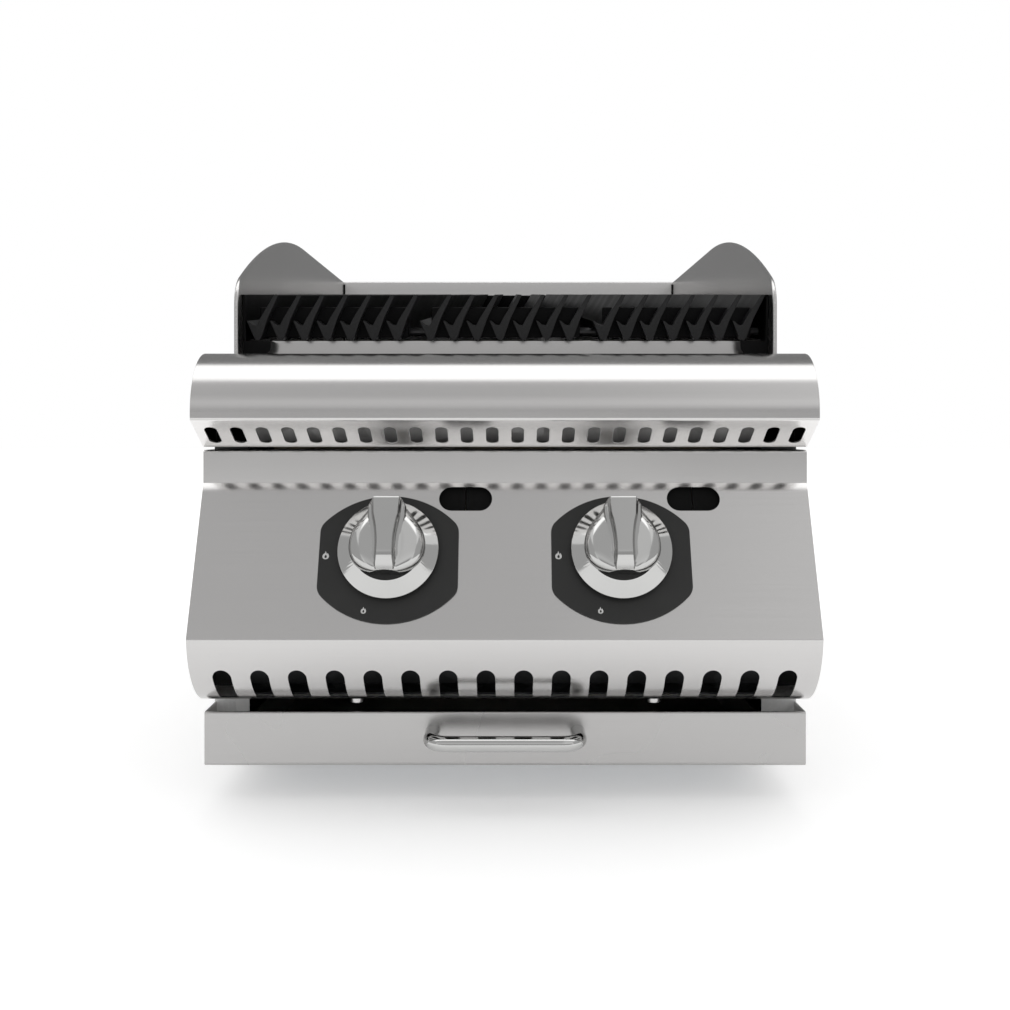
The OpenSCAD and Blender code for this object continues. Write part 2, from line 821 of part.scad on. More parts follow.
module burner(side) {
    front = injector_y + jet_len + throat_start_gap;
    tube_front = front + throat_len;
    back = firebox_back_y - burner_end_gap;
    port_run = back - tube_front - 2 * port_end_margin;
    color("darkgray") translate([side * knob_x, 0, burner_z]) difference() {
        union() {
            translate([0, front, 0]) rotate([-90, 0, 0])
                cylinder(d = throat_d, h = throat_len + burner_wall / 2);
            translate([0, tube_front, 0]) rotate([-90, 0, 0])
                cylinder(d = burner_d, h = back - tube_front);
            translate([0, back - burner_wall / 2, 0]) rotate([-90, 0, 0])
                cylinder(d = burner_pin_d, h = burner_pin_len + burner_wall / 2);
        }
        translate([0, front - cut, 0]) rotate([-90, 0, 0])
            cylinder(d = throat_bore_d, h = throat_len + burner_wall + 2 * cut);
        translate([0, tube_front + burner_wall, 0]) rotate([-90, 0, 0])
            cylinder(d = burner_d - 2 * burner_wall, h = back - tube_front - 2 * burner_wall);
        for (i = [0 : burner_ports - 1])
            translate([-burner_port_len / 2,
                       tube_front + port_end_margin + port_run * i / (burner_ports - 1),
                       burner_d / 4])
                cube([burner_port_len, burner_port_w, burner_d]);
    }
}
module burner_left() burner(-1);
module burner_right() burner(1);

// Pilot burner on the firebox front, beside each burner, and its thermocouple
pilot_offset = 33;
pilot_plate_w = 26;
pilot_plate_h = 30;
pilot_d = 10;
pilot_len = 24;
pilot_foot = 12;
pilot_hood_r = 7;
pilot_hood_h = 6;
pilot_drop = 8;
pilot_z = burner_z - pilot_drop;
probe_offset = 9;
probe_d = 5;
probe_len = 40;
probe_rise = 6;
probe_z = pilot_z + probe_rise;
lead_d = 3;
lead_bend_r = 10;

module pilot(side) {
    x = side * knob_x + pilot_offset;
    y = firebox_front_y + seat_gap;
    color("silver") difference() {
        union() {
            block([x - pilot_plate_w / 2, y, pilot_z - pilot_plate_h / 2],
                  [x + pilot_plate_w / 2, y + sheet_t, pilot_z + pilot_plate_h / 2]);
            block([x - pilot_plate_w / 2, y, pilot_z - pilot_plate_h / 2],
                  [x + pilot_plate_w / 2, y + pilot_foot + pilot_d,
                   pilot_z - pilot_plate_h / 2 + sheet_t]);
            translate([x, y + pilot_foot, pilot_z - pilot_plate_h / 2])
                cylinder(d = pilot_d, h = pilot_len);
            translate([x, y + pilot_foot, pilot_z - pilot_plate_h / 2 + pilot_len])
                cylinder(r = pilot_hood_r, h = pilot_hood_h);
        }
        translate([x + probe_offset, y - cut, probe_z]) rotate([-90, 0, 0])
            cylinder(d = probe_d + 2 * shaft_gap, h = sheet_t + 2 * cut);
    }
}
module pilot_left() pilot(-1);
module pilot_right() pilot(1);

module thermocouple(side) {
    x = side * knob_x + pilot_offset + probe_offset;
    front = outlet_y + lead_bend_r;
    color("peru") {
        bar([x, firebox_front_y - sheet_t - feed_d, probe_z],
            [x, firebox_front_y - sheet_t - feed_d + probe_len, probe_z], probe_d);
        bar([x, front, probe_z], [x, firebox_front_y - sheet_t - feed_d, probe_z], lead_d);
        translate([x, front, probe_z - lead_bend_r]) rotate([90, 0, -90])
            rotate_extrude(angle = 90) translate([lead_bend_r, 0]) circle(d = lead_d);
        bar([x, outlet_y, probe_z - lead_bend_r],
            [x, outlet_y, port_z + lead_bend_r], lead_d);
        translate([x - lead_bend_r, outlet_y, port_z + lead_bend_r])
            rotate([90, 0, 0]) rotate(-90)
                rotate_extrude(angle = 90) translate([lead_bend_r, 0]) circle(d = lead_d);
        bar([x - lead_bend_r, outlet_y, port_z],
            [side * knob_x + tap_d / 2, outlet_y, port_z], lead_d);
    }
}
module thermocouple_left() thermocouple(-1);
module thermocouple_right() thermocouple(1);

// Firebox walls, open below to the drawer
ledge_w = 15;
grid_bar_h = 8;
ledge_z = grid_top_z - grid_bar_h;
firebox_flange = 8;
burner_hole_d = 25;
sight_hole_len = 40;
sight_hole_h = 12;
sight_hole_rise = 16;
probe_hole_d = 6;

module firebox_side() {
    color("darkgray") {
        block([-firebox_w - sheet_t, firebox_front_y, firebox_bottom_z],
              [-firebox_w, firebox_back_y, deck_under_z]);
        block([-firebox_w - firebox_flange, firebox_front_y, deck_under_z - sheet_t],
              [-firebox_w, firebox_back_y, deck_under_z]);
        block([-firebox_w - sheet_t, firebox_front_y, ledge_z - sheet_t],
              [-firebox_w + ledge_w, firebox_back_y, ledge_z]);
    }
}
module firebox_left() firebox_side();
module firebox_right() mirror([1, 0, 0]) firebox_side();

module firebox_front() {
    color("darkgray") difference() {
        union() {
            block([-firebox_w, firebox_front_y - sheet_t, firebox_bottom_z],
                  [firebox_w, firebox_front_y, deck_under_z]);
            block([-firebox_w, firebox_front_y - firebox_flange, deck_under_z - sheet_t],
                  [firebox_w, firebox_front_y, deck_under_z]);
        }
        for (side = [-1, 1]) translate([side * knob_x, firebox_front_y - sheet_t - cut, 0])
            rotate([-90, 0, 0]) {
                translate([0, -burner_z, 0]) cylinder(d = burner_hole_d, h = sheet_t + 2 * cut);
                translate([pilot_offset + probe_offset, -probe_z, 0])
                    cylinder(d = probe_hole_d, h = sheet_t + 2 * cut);
                translate([pilot_offset, -burner_z - sight_hole_rise, 0])
                    linear_extrude(sheet_t + 2 * cut) slot_outline(sight_hole_len, sight_hole_h);
            }
    }
}

module firebox_back() {
    color("darkgray") difference() {
        block([-firebox_w, firebox_back_y, firebox_bottom_z],
              [firebox_w, firebox_back_y + sheet_t, deck_under_z]);
        for (side = [-1, 1]) translate([side * knob_x, firebox_back_y - cut, burner_z])
            rotate([-90, 0, 0])
                cylinder(d = burner_pin_d + 2 * seat_gap, h = sheet_t + 2 * cut);
    }
}

// Grid of flat bars under the stones
grid_bars = 15;
grid_bar_w = 3;
grid_cross_w = 5;
grid_cross_share = [0.04, 0.35, 0.65, 0.96];
grid_side_gap = 3;
grid_w = 2 * (firebox_w - grid_side_gap);
grid_front_y = firebox_front_y + grid_side_gap;
grid_len = firebox_back_y - grid_side_gap - grid_front_y;

module stone_grid() {
    color("dimgray") {
        for (i = [0 : grid_bars - 1])
            translate([-grid_w / 2 + i * (grid_w - grid_bar_w) / (grid_bars - 1),
                       grid_front_y, ledge_z + seat_gap])
                cube([grid_bar_w, grid_len, grid_top_z - ledge_z - seat_gap]);
        for (share = grid_cross_share)
            translate([-grid_w / 2, grid_front_y + share * (grid_len - grid_cross_w),
                       ledge_z + seat_gap])
                cube([grid_w, grid_cross_w, grid_top_z - ledge_z - seat_gap]);
    }
}

// Lava stones: rings of uneven radii, each stone within its own cell of the bed
stone_sides = 8;
stone_ring_shares = [[0.62, 0], [0.98, 0.22], [0.9, 0.6], [0.5, 0.9]];
stone_gap = 0.8;
stone_uneven_share = 0.16;
stone_low_share = 0.28;
stone_cell = [grid_w / stones_across, grid_len / stones_along];

// An even spread of values between 0 and 1, one for each seed
function spread(seed) = (1 + sin(seed * 137.508)) / 2;

module stone(seed) {
    rx = (stone_cell[0] - stone_gap) / 2;
    ry = (stone_cell[1] - stone_gap) / 2;
    h = stone_h * (1 - stone_low_share * spread(seed * 3 + 1));
    rings = [for (k = [0 : len(stone_ring_shares) - 1]) for (i = [0 : stone_sides - 1])
        let (a = (i + spread(seed + k) / 2) * 360 / stone_sides,
             uneven = 1 - stone_uneven_share * spread(seed * 7 + k * 5 + i * 3),
             q = stone_ring_shares[k])
        [rx * q[0] * uneven * cos(a), ry * q[0] * uneven * sin(a),
         h * q[1] * (k == 0 ? 1 : uneven)]];
    top = len(rings);
    last = top - stone_sides;
    polyhedron(
        points = concat(rings, [[0, 0, h]]),
        faces = concat(
            [[for (i = [0 : stone_sides - 1]) i]],
            [for (k = [0 : len(stone_ring_shares) - 2], i = [0 : stone_sides - 1])
                let (a = k * stone_sides + i, b = k * stone_sides + (i + 1) % stone_sides)
                [a, a + stone_sides, b]],
            [for (k = [0 : len(stone_ring_shares) - 2], i = [0 : stone_sides - 1])
                let (a = k * stone_sides + i, b = k * stone_sides + (i + 1) % stone_sides)
                [b, a + stone_sides, b + stone_sides]],
            [for (i = [0 : stone_sides - 1])
                [last + i, top, last + (i + 1) % stone_sides]]));
}

module lava_stones() {
    color("#4a4440") for (i = [0 : stones_across - 1], j = [0 : stones_along - 1])
        translate([-grid_w / 2 + (i + 0.5) * stone_cell[0],
                   grid_front_y + (j + 0.5) * stone_cell[1], grid_top_z + seat_gap])
            stone(i * stones_along + j);
}

// Grates: gutter bars with a check-mark section, whose long arms lean over their neighbours
grate_side_gap = 0.8;
rail_t = 1.5;
guard_inner_w = half_w - guard_inset - guard_t;
rail_outer_w = guard_inner_w - seat_gap;
rail_inner_w = rail_outer_w - rail_t;
module_pitch = (2 * (rail_inner_w - grate_side_gap) + module_gap) / 3;
short_arm_share = 0.5;
// Reach of a bar's long arm to the side, as a share of the distance between bars
arm_reach_share = 12 / 13;
bar_pitch = (module_pitch - module_gap)
    / (grate_bars - 1 + (1 + short_arm_share) * arm_reach_share);
arm_w = arm_reach_share * bar_pitch;
// Section of a bar, as shares of arm_w to the side and of arm_h upwards
bar_section_shares = [
    [-0.09, 0.01], [0, 0], [0.09, 0.01], [0.18, 0.08], [0.48, 0.48], [1, 0.985],
    [0.97, 1], [0.82, 1], [0.125, 0.48], [-0.033, 0.335], [-0.1, 0.33], [-0.23, 0.347],
    [-0.41, 0.42], [-0.5, 0.43], [-0.17, 0.06]];
grate_front_setback = 24.7;
grate_front_y = body_y + grate_front_setback;
grate_len = (guard_back_y - guard_t - flue_gap - grate_front_y) / cos(grate_slope);
tip_z = deck_z + tip_rise;
web_t = 5;
web_setback = 10;
web_low_share = 0.05;
web_top_share = 0.72;
rod_setback = 26;
rod_rise_share = 0.16;
rod_lines = [rod_setback, grate_len - rod_setback];

// Places its children in the grates' sloped frame: X to the right, Y up the slope
module on_slope() {
    translate([0, grate_front_y, tip_z]) rotate([grate_slope, 0, 0]) children();
}

module bar_section() {
    polygon([for (q = bar_section_shares) [q[0] * arm_w, q[1] * arm_h]]);
}

module grate(position) {
    first = -1.5 * module_pitch + module_gap / 2 + short_arm_share * arm_w
        + position * module_pitch;
    last = first + (grate_bars - 1) * bar_pitch;
    color("#242424") on_slope() difference() {
        union() {
            for (i = [0 : grate_bars - 1])
                translate([first + i * bar_pitch, grate_len, 0])
                    rotate([90, 0, 0]) linear_extrude(grate_len) bar_section();
            for (y = [web_setback, grate_len - web_setback - web_t])
                block([first, y, web_low_share * arm_h],
                      [last + short_arm_share * arm_w, y + web_t, web_top_share * arm_h]);
        }
        for (y = rod_lines) rod_notch(y);
    }
}

// A notch that opens straight down in the unit's own frame, so that the module lifts off
module rod_notch(y) {
    notch_d = rod_d + 2 * seat_gap;
    translate([-half_w, y, rod_rise_share * arm_h]) {
        rotate([0, 90, 0]) cylinder(d = notch_d, h = unit_w);
        rotate([-grate_slope, 0, 0]) translate([0, -notch_d / 2, -arm_h])
            cube([unit_w, notch_d, arm_h]);
    }
}
module grate_left() grate(0);
module grate_middle() grate(1);
module grate_right() grate(2);

module grate_rods() {
    color("#2c2c2c") on_slope() for (y = rod_lines)
        translate([-rail_inner_w, y, rod_rise_share * arm_h]) rotate([0, 90, 0])
            cylinder(d = rod_d, h = 2 * rail_inner_w);
}

// Side rails beside the grates, each with a foot on the worktop at the front
rail_foot_w = 19.2;
rail_foot_len = 16;
rail_foot_r = 6;
rail_foot_lift = 2;
rail_pad_d = 8;
rail_screw_shares = [0.12, 0.9];
rail_screw_height_share = 0.6;

module grate_rail() {
    foot_z = deck_z + rail_foot_lift;
    foot_top = tip_z - seat_gap;
    color("#242424") difference() {
        union() {
            on_slope() block([-rail_outer_w, 0, 0], [-rail_inner_w, grate_len, arm_h]);
            block([-rail_outer_w, grate_front_y, foot_z],
                  [-rail_inner_w, grate_front_y + rail_foot_len, tip_z + arm_h / 2]);
            rail_foot(foot_z, foot_top);
        }
        at_rail_screws() translate([0, 0, -guard_t - rail_t - seat_gap - cut])
            cylinder(d = small_hole_d, h = rail_t + 2 * cut);
    }
}

module rail_foot(foot_z, foot_top) {
    translate([0, grate_front_y + rail_foot_len, 0]) rotate([90, 0, 0])
        linear_extrude(rail_foot_len) intersection() {
            translate([-rail_outer_w, foot_z]) square([rail_foot_w, foot_top - foot_z]);
            union() {
                translate([-rail_outer_w, foot_z])
                    square([rail_foot_w - rail_foot_r, foot_top - foot_z]);
                translate([-rail_outer_w, foot_z + rail_foot_r])
                    square([rail_foot_w, foot_top - foot_z]);
                translate([-rail_outer_w + rail_foot_w - rail_foot_r, foot_z + rail_foot_r])
                    circle(rail_foot_r);
            }
        }
    translate([-rail_outer_w + rail_pad_d / 2, grate_front_y + rail_foot_len / 2, deck_z])
        cylinder(d = rail_pad_d, h = 2 * rail_foot_lift);
}
module grate_rail_left() grate_rail();
module grate_rail_right() mirror([1, 0, 0]) grate_rail();

// Splash guard: two sides with a long curved front, and a back
guard_top_z = deck_z + guard_h;
guard_w = half_w - guard_inset;
flat_y = guard_front_y + guard_curve_len;
guard_big = [flat_y, guard_top_z - guard_arc_r];
guard_small_y = guard_front_y + guard_corner_r;
guard_small = [guard_small_y, guard_big[1]
    + sqrt(pow(guard_arc_r - guard_corner_r, 2) - pow(flat_y - guard_small_y, 2))];
guard_turn_a = angle_of(guard_small - guard_big);
guard_arc_a = guard_turn_a - 90;
guard_corner_gap = 0.8;
guard_corner_steps = 8;
guard_arc_steps = 24;

module guard_side() {
    back = guard_back_y - guard_t - guard_corner_gap;
    color(steel_color) difference() {
        along_x(-guard_w, -guard_w + guard_t) polygon(concat(
            [[back, guard_top_z], [back, deck_z], [guard_front_y, deck_z]],
            arc_points(guard_small, guard_corner_r, 180, guard_turn_a, guard_corner_steps),
            arc_points(guard_big, guard_arc_r, guard_turn_a - guard_arc_a / guard_arc_steps, 90,
                       guard_arc_steps - 1)));
        at_rail_screws() translate([0, 0, -guard_t - cut])
            cylinder(d = small_hole_d, h = guard_t + 2 * cut);
    }
}
module guard_left() guard_side();
module guard_right() mirror([1, 0, 0]) guard_side();

module guard_back() {
    color(steel_color)
        block([-guard_w, guard_back_y - guard_t, deck_z], [guard_w, guard_back_y, guard_top_z]);
}

// Screws through the guard's sides into the rails
module at_rail_screws() {
    on_slope() for (share = rail_screw_shares)
        translate([-guard_w, share * grate_len, rail_screw_height_share * arm_h])
            rotate([0, -90, 0]) children();
}

module rail_screws() {
    shank = guard_t + seat_gap + rail_t;
    color("silver") both_sides() at_rail_screws() {
        cylinder(d = small_head_d, h = small_head_h);
        translate([0, 0, -shank]) cylinder(d = small_screw_d, h = shank + small_head_h);
    }
}

// Drawer: a box-shaped front, a tray between the body's flanges, runners below it
front_flange_gap = 0.5;
hem = 6;
drawer_side_w = half_w - front_flange_gap;
runner_h = 1.5;
runner_w = 18;
runner_top_z = pan_top_z + runner_h;
tray_z = runner_top_z + seat_gap;
tray_top_z = drawer_top_z - hem - seat_gap;
tray_back_gap = 6;
tray_back_y = firebox_back_y + tray_back_gap;
front_back_y = body_y - front_flange_gap;

module drawer_front() {
    color(steel_color) difference() {
        union() {
            block([-drawer_side_w, strip_y, drawer_z],
                  [drawer_side_w, strip_y + sheet_t, drawer_top_z]);
            block([-drawer_side_w, strip_y, drawer_top_z - hem],
                  [drawer_side_w, strip_y + 2 * sheet_t, drawer_top_z]);
            block([-drawer_side_w, strip_y, drawer_z],
                  [drawer_side_w, front_back_y, drawer_z + sheet_t]);
            for (x = [-drawer_side_w, drawer_side_w - sheet_t])
                block([x, strip_y, drawer_z], [x + sheet_t, front_back_y, drawer_top_z]);
        }
        at_handle_legs() translate([0, 0, -sheet_t - cut])
            cylinder(d = small_hole_d, h = sheet_t + 2 * cut);
    }
}

module drawer_tray() {
    front = strip_y + sheet_t;
    color("lightgray") difference() {
        block([-tray_w / 2, front, tray_z], [tray_w / 2, tray_back_y, tray_top_z]);
        block([-tray_w / 2 + sheet_t, front + sheet_t, tray_z + sheet_t],
              [tray_w / 2 - sheet_t, tray_back_y - sheet_t, tray_top_z + cut]);
        at_handle_legs() translate([0, 0, -2 * sheet_t - screw_room])
            cylinder(d = small_head_d + 2 * seat_gap, h = sheet_t + screw_room);
    }
}

module drawer_runners() {
    color("gray") both_sides()
        block([-tray_w / 2, crossbar_y, pan_top_z],
              [-tray_w / 2 + runner_w, tray_back_y, runner_top_z]);
}

// Handle: a round bow on two legs, held by screws from inside
handle_height_share = 0.63;
handle_z = drawer_z + handle_height_share * drawer_h;
handle_bend_r = 12;
screw_room = 1;

module at_handle_legs() {
    for (side = [-1, 1])
        translate([side * handle_centres / 2, strip_y, handle_z]) rotate([90, 0, 0]) children();
}

module drawer_handle() {
    leg = handle_reach - handle_bend_r;
    bow_y = strip_y - handle_reach;
    color("gainsboro") difference() {
        union() {
            at_handle_legs() cylinder(d = handle_d, h = leg);
            translate([-handle_centres / 2 + handle_bend_r, bow_y, handle_z])
                rotate([0, 90, 0])
                    cylinder(d = handle_d, h = handle_centres - 2 * handle_bend_r);
            both_sides()
                translate([-handle_centres / 2 + handle_bend_r, strip_y - leg, handle_z])
                    rotate([0, 0, 180]) rotate_extrude(angle = 90)
                        translate([handle_bend_r, 0]) circle(d = handle_d);
        }
        at_handle_legs() translate([0, 0, -cut])
            cylinder(d = small_screw_d + 2 * shaft_gap, h = leg / 2 + cut);
    }
}

module handle_screws() {
    leg = handle_reach - handle_bend_r;
    color("gray") at_handle_legs() {
        translate([0, 0, -sheet_t - small_head_h]) cylinder(d = small_head_d, h = small_head_h);
        translate([0, 0, -sheet_t - small_head_h])
            cylinder(d = small_screw_d, h = small_head_h + sheet_t + leg / 2 - seat_gap);
    }
}

base_pan();
side_panel_left();
side_panel_right();
rear_panel();
front_crossbar();
lower_crossbar();
top_plate();
nose_end_caps();
control_panel();
panel_end_caps();
bezel_left();
bezel_right();
knob_left();
knob_right();
spindle_left();
spindle_right();
tap_cone_left();
tap_cone_right();
gas_tap_left();
gas_tap_right();
feed_pipe_left();
feed_pipe_right();
injectors();
gas_manifold();
supply_pipe();
gas_inlet();
burner_left();
burner_right();
pilot_left();
pilot_right();
thermocouple_left();
thermocouple_right();
firebox_front();
firebox_back();
firebox_left();
firebox_right();
stone_grid();
lava_stones();
grate_rail_left();
grate_rail_right();
grate_rods();
grate_left();
grate_middle();
grate_right();
guard_left();
guard_right();
guard_back();
drawer_front();
drawer_tray();
drawer_handle();
handle_screws();
drawer_runners();
feet();
foot_bolts();
lip_screws();
rear_screws();
rail_screws();
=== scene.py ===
"""Dresses the packed model of a counter-top lava stone grill and lights it like a plain studio.

Every piece is in metres, with X to the right, Y to the back and Z up from the table.
"""
import json
import math
import random

import bmesh
import bpy
from mathutils import Matrix, Vector, noise

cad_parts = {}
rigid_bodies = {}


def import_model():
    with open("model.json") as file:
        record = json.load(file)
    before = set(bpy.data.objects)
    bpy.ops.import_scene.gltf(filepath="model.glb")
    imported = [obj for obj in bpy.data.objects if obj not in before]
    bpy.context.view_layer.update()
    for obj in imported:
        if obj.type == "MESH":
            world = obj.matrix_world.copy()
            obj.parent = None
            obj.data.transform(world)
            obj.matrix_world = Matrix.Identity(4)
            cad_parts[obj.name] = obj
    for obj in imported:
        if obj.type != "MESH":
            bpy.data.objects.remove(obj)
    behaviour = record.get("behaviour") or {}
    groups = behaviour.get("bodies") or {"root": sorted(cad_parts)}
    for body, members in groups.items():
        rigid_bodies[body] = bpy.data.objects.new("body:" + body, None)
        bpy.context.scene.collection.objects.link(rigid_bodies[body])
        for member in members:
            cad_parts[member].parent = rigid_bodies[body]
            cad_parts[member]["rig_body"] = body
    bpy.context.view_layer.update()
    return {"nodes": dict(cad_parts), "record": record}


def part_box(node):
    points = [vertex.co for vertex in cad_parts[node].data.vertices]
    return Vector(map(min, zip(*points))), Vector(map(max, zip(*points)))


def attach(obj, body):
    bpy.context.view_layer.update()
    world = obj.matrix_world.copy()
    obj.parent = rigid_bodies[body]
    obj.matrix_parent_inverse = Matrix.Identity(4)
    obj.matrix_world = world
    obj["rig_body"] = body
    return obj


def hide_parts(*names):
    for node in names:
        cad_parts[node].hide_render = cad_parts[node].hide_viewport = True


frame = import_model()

bl_info = {
    "name": "Lava stone grill",
    "version": (1, 0, 0),
    "blender": (4, 5, 0),
    "location": "3D View > Sidebar > Grill",
    "description": "Builds the sheets, grates, knobs and stones of a counter-top lava stone grill",
    "category": "Object",
}

MM = 0.001
NODE_SLOTS = {row["node"]: row["material_slot"] for row in frame["record"]["subparts"]}


def length(name, millimetres, description):
    """A size that the panel shows as a length."""
    return bpy.props.FloatProperty(
        name=name, description=description, default=millimetres * MM, min=0.0,
        subtype="DISTANCE", unit="LENGTH")


def angle(name, degrees, description):
    """A size that the panel shows as an angle."""
    return bpy.props.FloatProperty(
        name=name, description=description, default=math.radians(degrees),
        subtype="ANGLE", unit="ROTATION")


def number(name, value, description):
    """A plain factor."""
    return bpy.props.FloatProperty(name=name, description=description, default=value, min=0.0)


def colour(name, red, green, blue, description):
    """A linear colour that the panel shows as a swatch."""
    return bpy.props.FloatVectorProperty(
        name=name, description=description, default=(red, green, blue),
        subtype="COLOR", size=3, min=0.0, max=1.0)


class WorktopSizes(bpy.types.PropertyGroup):
    """Sizes of the worktop and of its rolled nose"""
    sheet: length("Sheet", 1.5, "Thickness of the worktop sheet")
    nose_radius: length("Nose radius", 39.5, "Outer radius of the rolled front")
    nose_drop: length("Nose drop", 4.8, "Straight stretch under the roll, down to the fold")
    undercut_depth: length("Underside depth", 32.0, "Depth of the slotted underside")
    fold_radius: length("Fold radius", 2.4, "Outer radius of the fold under the nose")
    slot_pitch: length("Slot pitch", 16.5, "Distance between the slots of the underside")
    slot_width: length("Slot width", 8.0, "Width of one slot")
    slot_length: length("Slot length", 21.5, "Length of one slot, along the underside")
    slot_place: number("Slot place", 0.56, "Middle of the slots, as a share of the underside")
    slot_margin: length("Slot margin", 6.0, "Least distance from a slot to the nose's end")
    opening_lip: length("Opening lip", 5.0, "How far the worktop reaches over the firebox")
    upstand: length("Upstand", 12.8, "Height of the upstand in front of the grates")
    upstand_half: length("Upstand reach", 168.5, "Reach of the upstand to either side")


class PanelSizes(bpy.types.PropertyGroup):
    """Sizes of the control panel"""
    sheet: length("Sheet", 1.2, "Thickness of the panel sheet")
    strip_depth: length("Strip setback", 41.4, "How far the strip stays behind the lower nose")
    strip_height: length("Strip height", 21.8, "Height of the upright strip")
    nose_radius: length("Lower nose radius", 56.0, "Outer radius of the lower nose")
    nose_height: length("Lower nose height", 45.9, "Height from the lip to the crease")
    nose_depth: length("Lower nose depth", 37.4, "Depth from the lip to the crease")
    fold_radius: length("Fold radius", 1.9, "Outer radius of the folds")
    lean_reach: length("Lean reach", 6.4, "Height over which the raked face leans back")
    lean_slope: number("Lean slope", 0.345, "Extra slope of the raked face at its fold")
    slot_pitch: length("Slot pitch", 24.0, "Distance between the slots of the lower nose")
    slot_width: length("Slot width", 12.0, "Width of one slot")
    slot_height: length("Slot height", 25.3, "Height of a slot's top above the lip")
    slot_margin: length("Slot margin", 13.0, "Least distance from a slot to the panel's end")
    window_length: length("Window length", 35.0, "Length of a lighting window")
    window_height: length("Window height", 16.5, "Height of a lighting window")
    window_offset: length("Window offset", 49.0, "Distance from a knob to its window")
    window_drop: length("Window drop", 11.2, "Distance of a window below the fold")
    spindle_hole: length("Spindle hole", 14.0, "Diameter of the hole behind a knob")


class KnobSizes(bpy.types.PropertyGroup):
    """Sizes of the knobs and of the bezels behind them"""
    spacing: length("Knob spacing", 150.0, "Distance between the two knobs")
    drop: length("Knob drop", 47.3, "Distance of a knob's axis below the fold")
    diameter: length("Knob diameter", 65.0, "Diameter of a knob's skirt")
    clearance: length("Knob clearance", 5.0, "Free height under a knob's skirt")
    dome_diameter: length("Dome diameter", 49.0, "Diameter of a knob's dome")
    dome_rise: length("Dome rise", 11.0, "Height of the dome above the skirt")
    height: length("Knob height", 30.0, "Height of a knob above the panel")
    bezel_width: length("Bezel width", 90.0, "Width of a bezel between its flats")
    bezel_height: length("Bezel height", 85.0, "Height of a bezel")
    bezel_arc: length("Bezel arc radius", 59.0, "Radius of a bezel's top and bottom")
    bezel_corner: length("Bezel corner radius", 10.0, "Radius of a bezel's corners")
    bezel_thickness: length("Bezel thickness", 1.4, "Thickness of a bezel")
    bezel_drop: length("Bezel drop", 52.3, "Distance of a bezel's middle below the fold")


class GuardSizes(bpy.types.PropertyGroup):
    """Sizes of the splash guard"""
    sheet: length("Sheet", 1.5, "Thickness of the guard's sheets")
    hem_width: length("Hem width", 8.5, "Width of the hem that is folded round the edges")
    corner_radius: length("Corner radius", 24.0, "Radius of the upper front corner")
    curve_radius: length("Curve radius", 567.0, "Radius of the long curve at the top")
    curve_length: length("Curve length", 257.4, "Length of the curved stretch, from the front")


class GrateSizes(bpy.types.PropertyGroup):
    """Sizes of the cast grates"""
    slope: angle("Slope", 6.2, "Slope of the grates, up to the back")
    arm_height: length("Arm height", 32.3, "Height of a bar's long arm")
    module_gap: length("Module gap", 1.0, "Gap between two modules")
    bars: bpy.props.IntProperty(
        name="Bars", description="Number of bars in one module", default=7, min=2)
    casting_edge: length("Casting edge", 0.9, "Radius of the castings' edges")
    web_thickness: length("Web thickness", 5.0, "Thickness of the webs that join the bars")
    web_setback: length("Web setback", 10.0, "Distance of a web from the grate's end")
    rod_diameter: length("Rod diameter", 6.0, "Diameter of the rods that carry the modules")
    rod_setback: length("Rod setback", 26.0, "Distance of a rod from the grate's end")


class StoneSizes(bpy.types.PropertyGroup):
    """Sizes of the lava stones"""
    across: bpy.props.IntProperty(
        name="Across", description="Stones across the bed", default=7, min=1)
    along: bpy.props.IntProperty(
        name="Along", description="Stones along the bed", default=9, min=1)
    seed: bpy.props.IntProperty(name="Seed", description="Seed of the stones' shapes", default=11)
    roughness: number("Lumpiness", 0.16, "Height of a stone's lumps, as a share of its size")


class DrawerSizes(bpy.types.PropertyGroup):
    """Sizes of the drawer and its handle"""
    sheet: length("Sheet", 1.2, "Thickness of the drawer's sheet")
    hem: length("Hem", 6.0, "Height of the hem along the top of the front")
    handle_centres: length("Handle centres", 96.0, "Distance between the handle's legs")
    handle_diameter: length("Handle diameter", 10.0, "Diameter of the handle's rod")
    handle_reach: length("Handle reach", 29.0, "Reach of the handle in front of the drawer")
    handle_bend: length("Handle bend", 12.0, "Radius of the handle's bends, to the rod's middle")
    handle_place: number("Handle place", 0.63, "Height of the handle, as a share of the front's")


class FinishColours(bpy.types.PropertyGroup):
    """Colours of the finishes"""
    steel: colour("Steel", 0.592, 0.584, 0.578, "Satin stainless sheet")
    chrome: colour("Chrome", 0.53, 0.53, 0.522, "Polished knobs and handle")
    cast_iron: colour("Cast iron", 0.0105, 0.0105, 0.0108, "Grates and rails")
    lava: colour("Lava", 0.075, 0.063, 0.056, "Lava stones")
    bezel: colour("Bezel", 0.018, 0.018, 0.0175, "Satin black plastic")
    marks: colour("Marks", 0.50, 0.50, 0.49, "Printed marks on the bezels")
    brass: colour("Brass", 0.72, 0.53, 0.25, "Taps, injectors and gas inlet")
    zinc: colour("Zinc", 0.56, 0.58, 0.60, "Galvanised sheet")
    rubber: colour("Rubber", 0.021, 0.021, 0.022, "Feet")


class StageLevels(bpy.types.PropertyGroup):
    """Levels of the studio, where 1 is white"""
    surround: number("Surround", 1.0, "Level of the white surround")
    softbox: number("Softbox", 1.9, "Level of the bright card above the front")
    front_card: number("Front card", 0.612, "Level of the grey card behind the camera")
    rear_card: number("Rear card", 0.25, "Level of the dark card above the back")
    side_card: number("Side cards", 0.55, "Level of the grey cards at the sides")


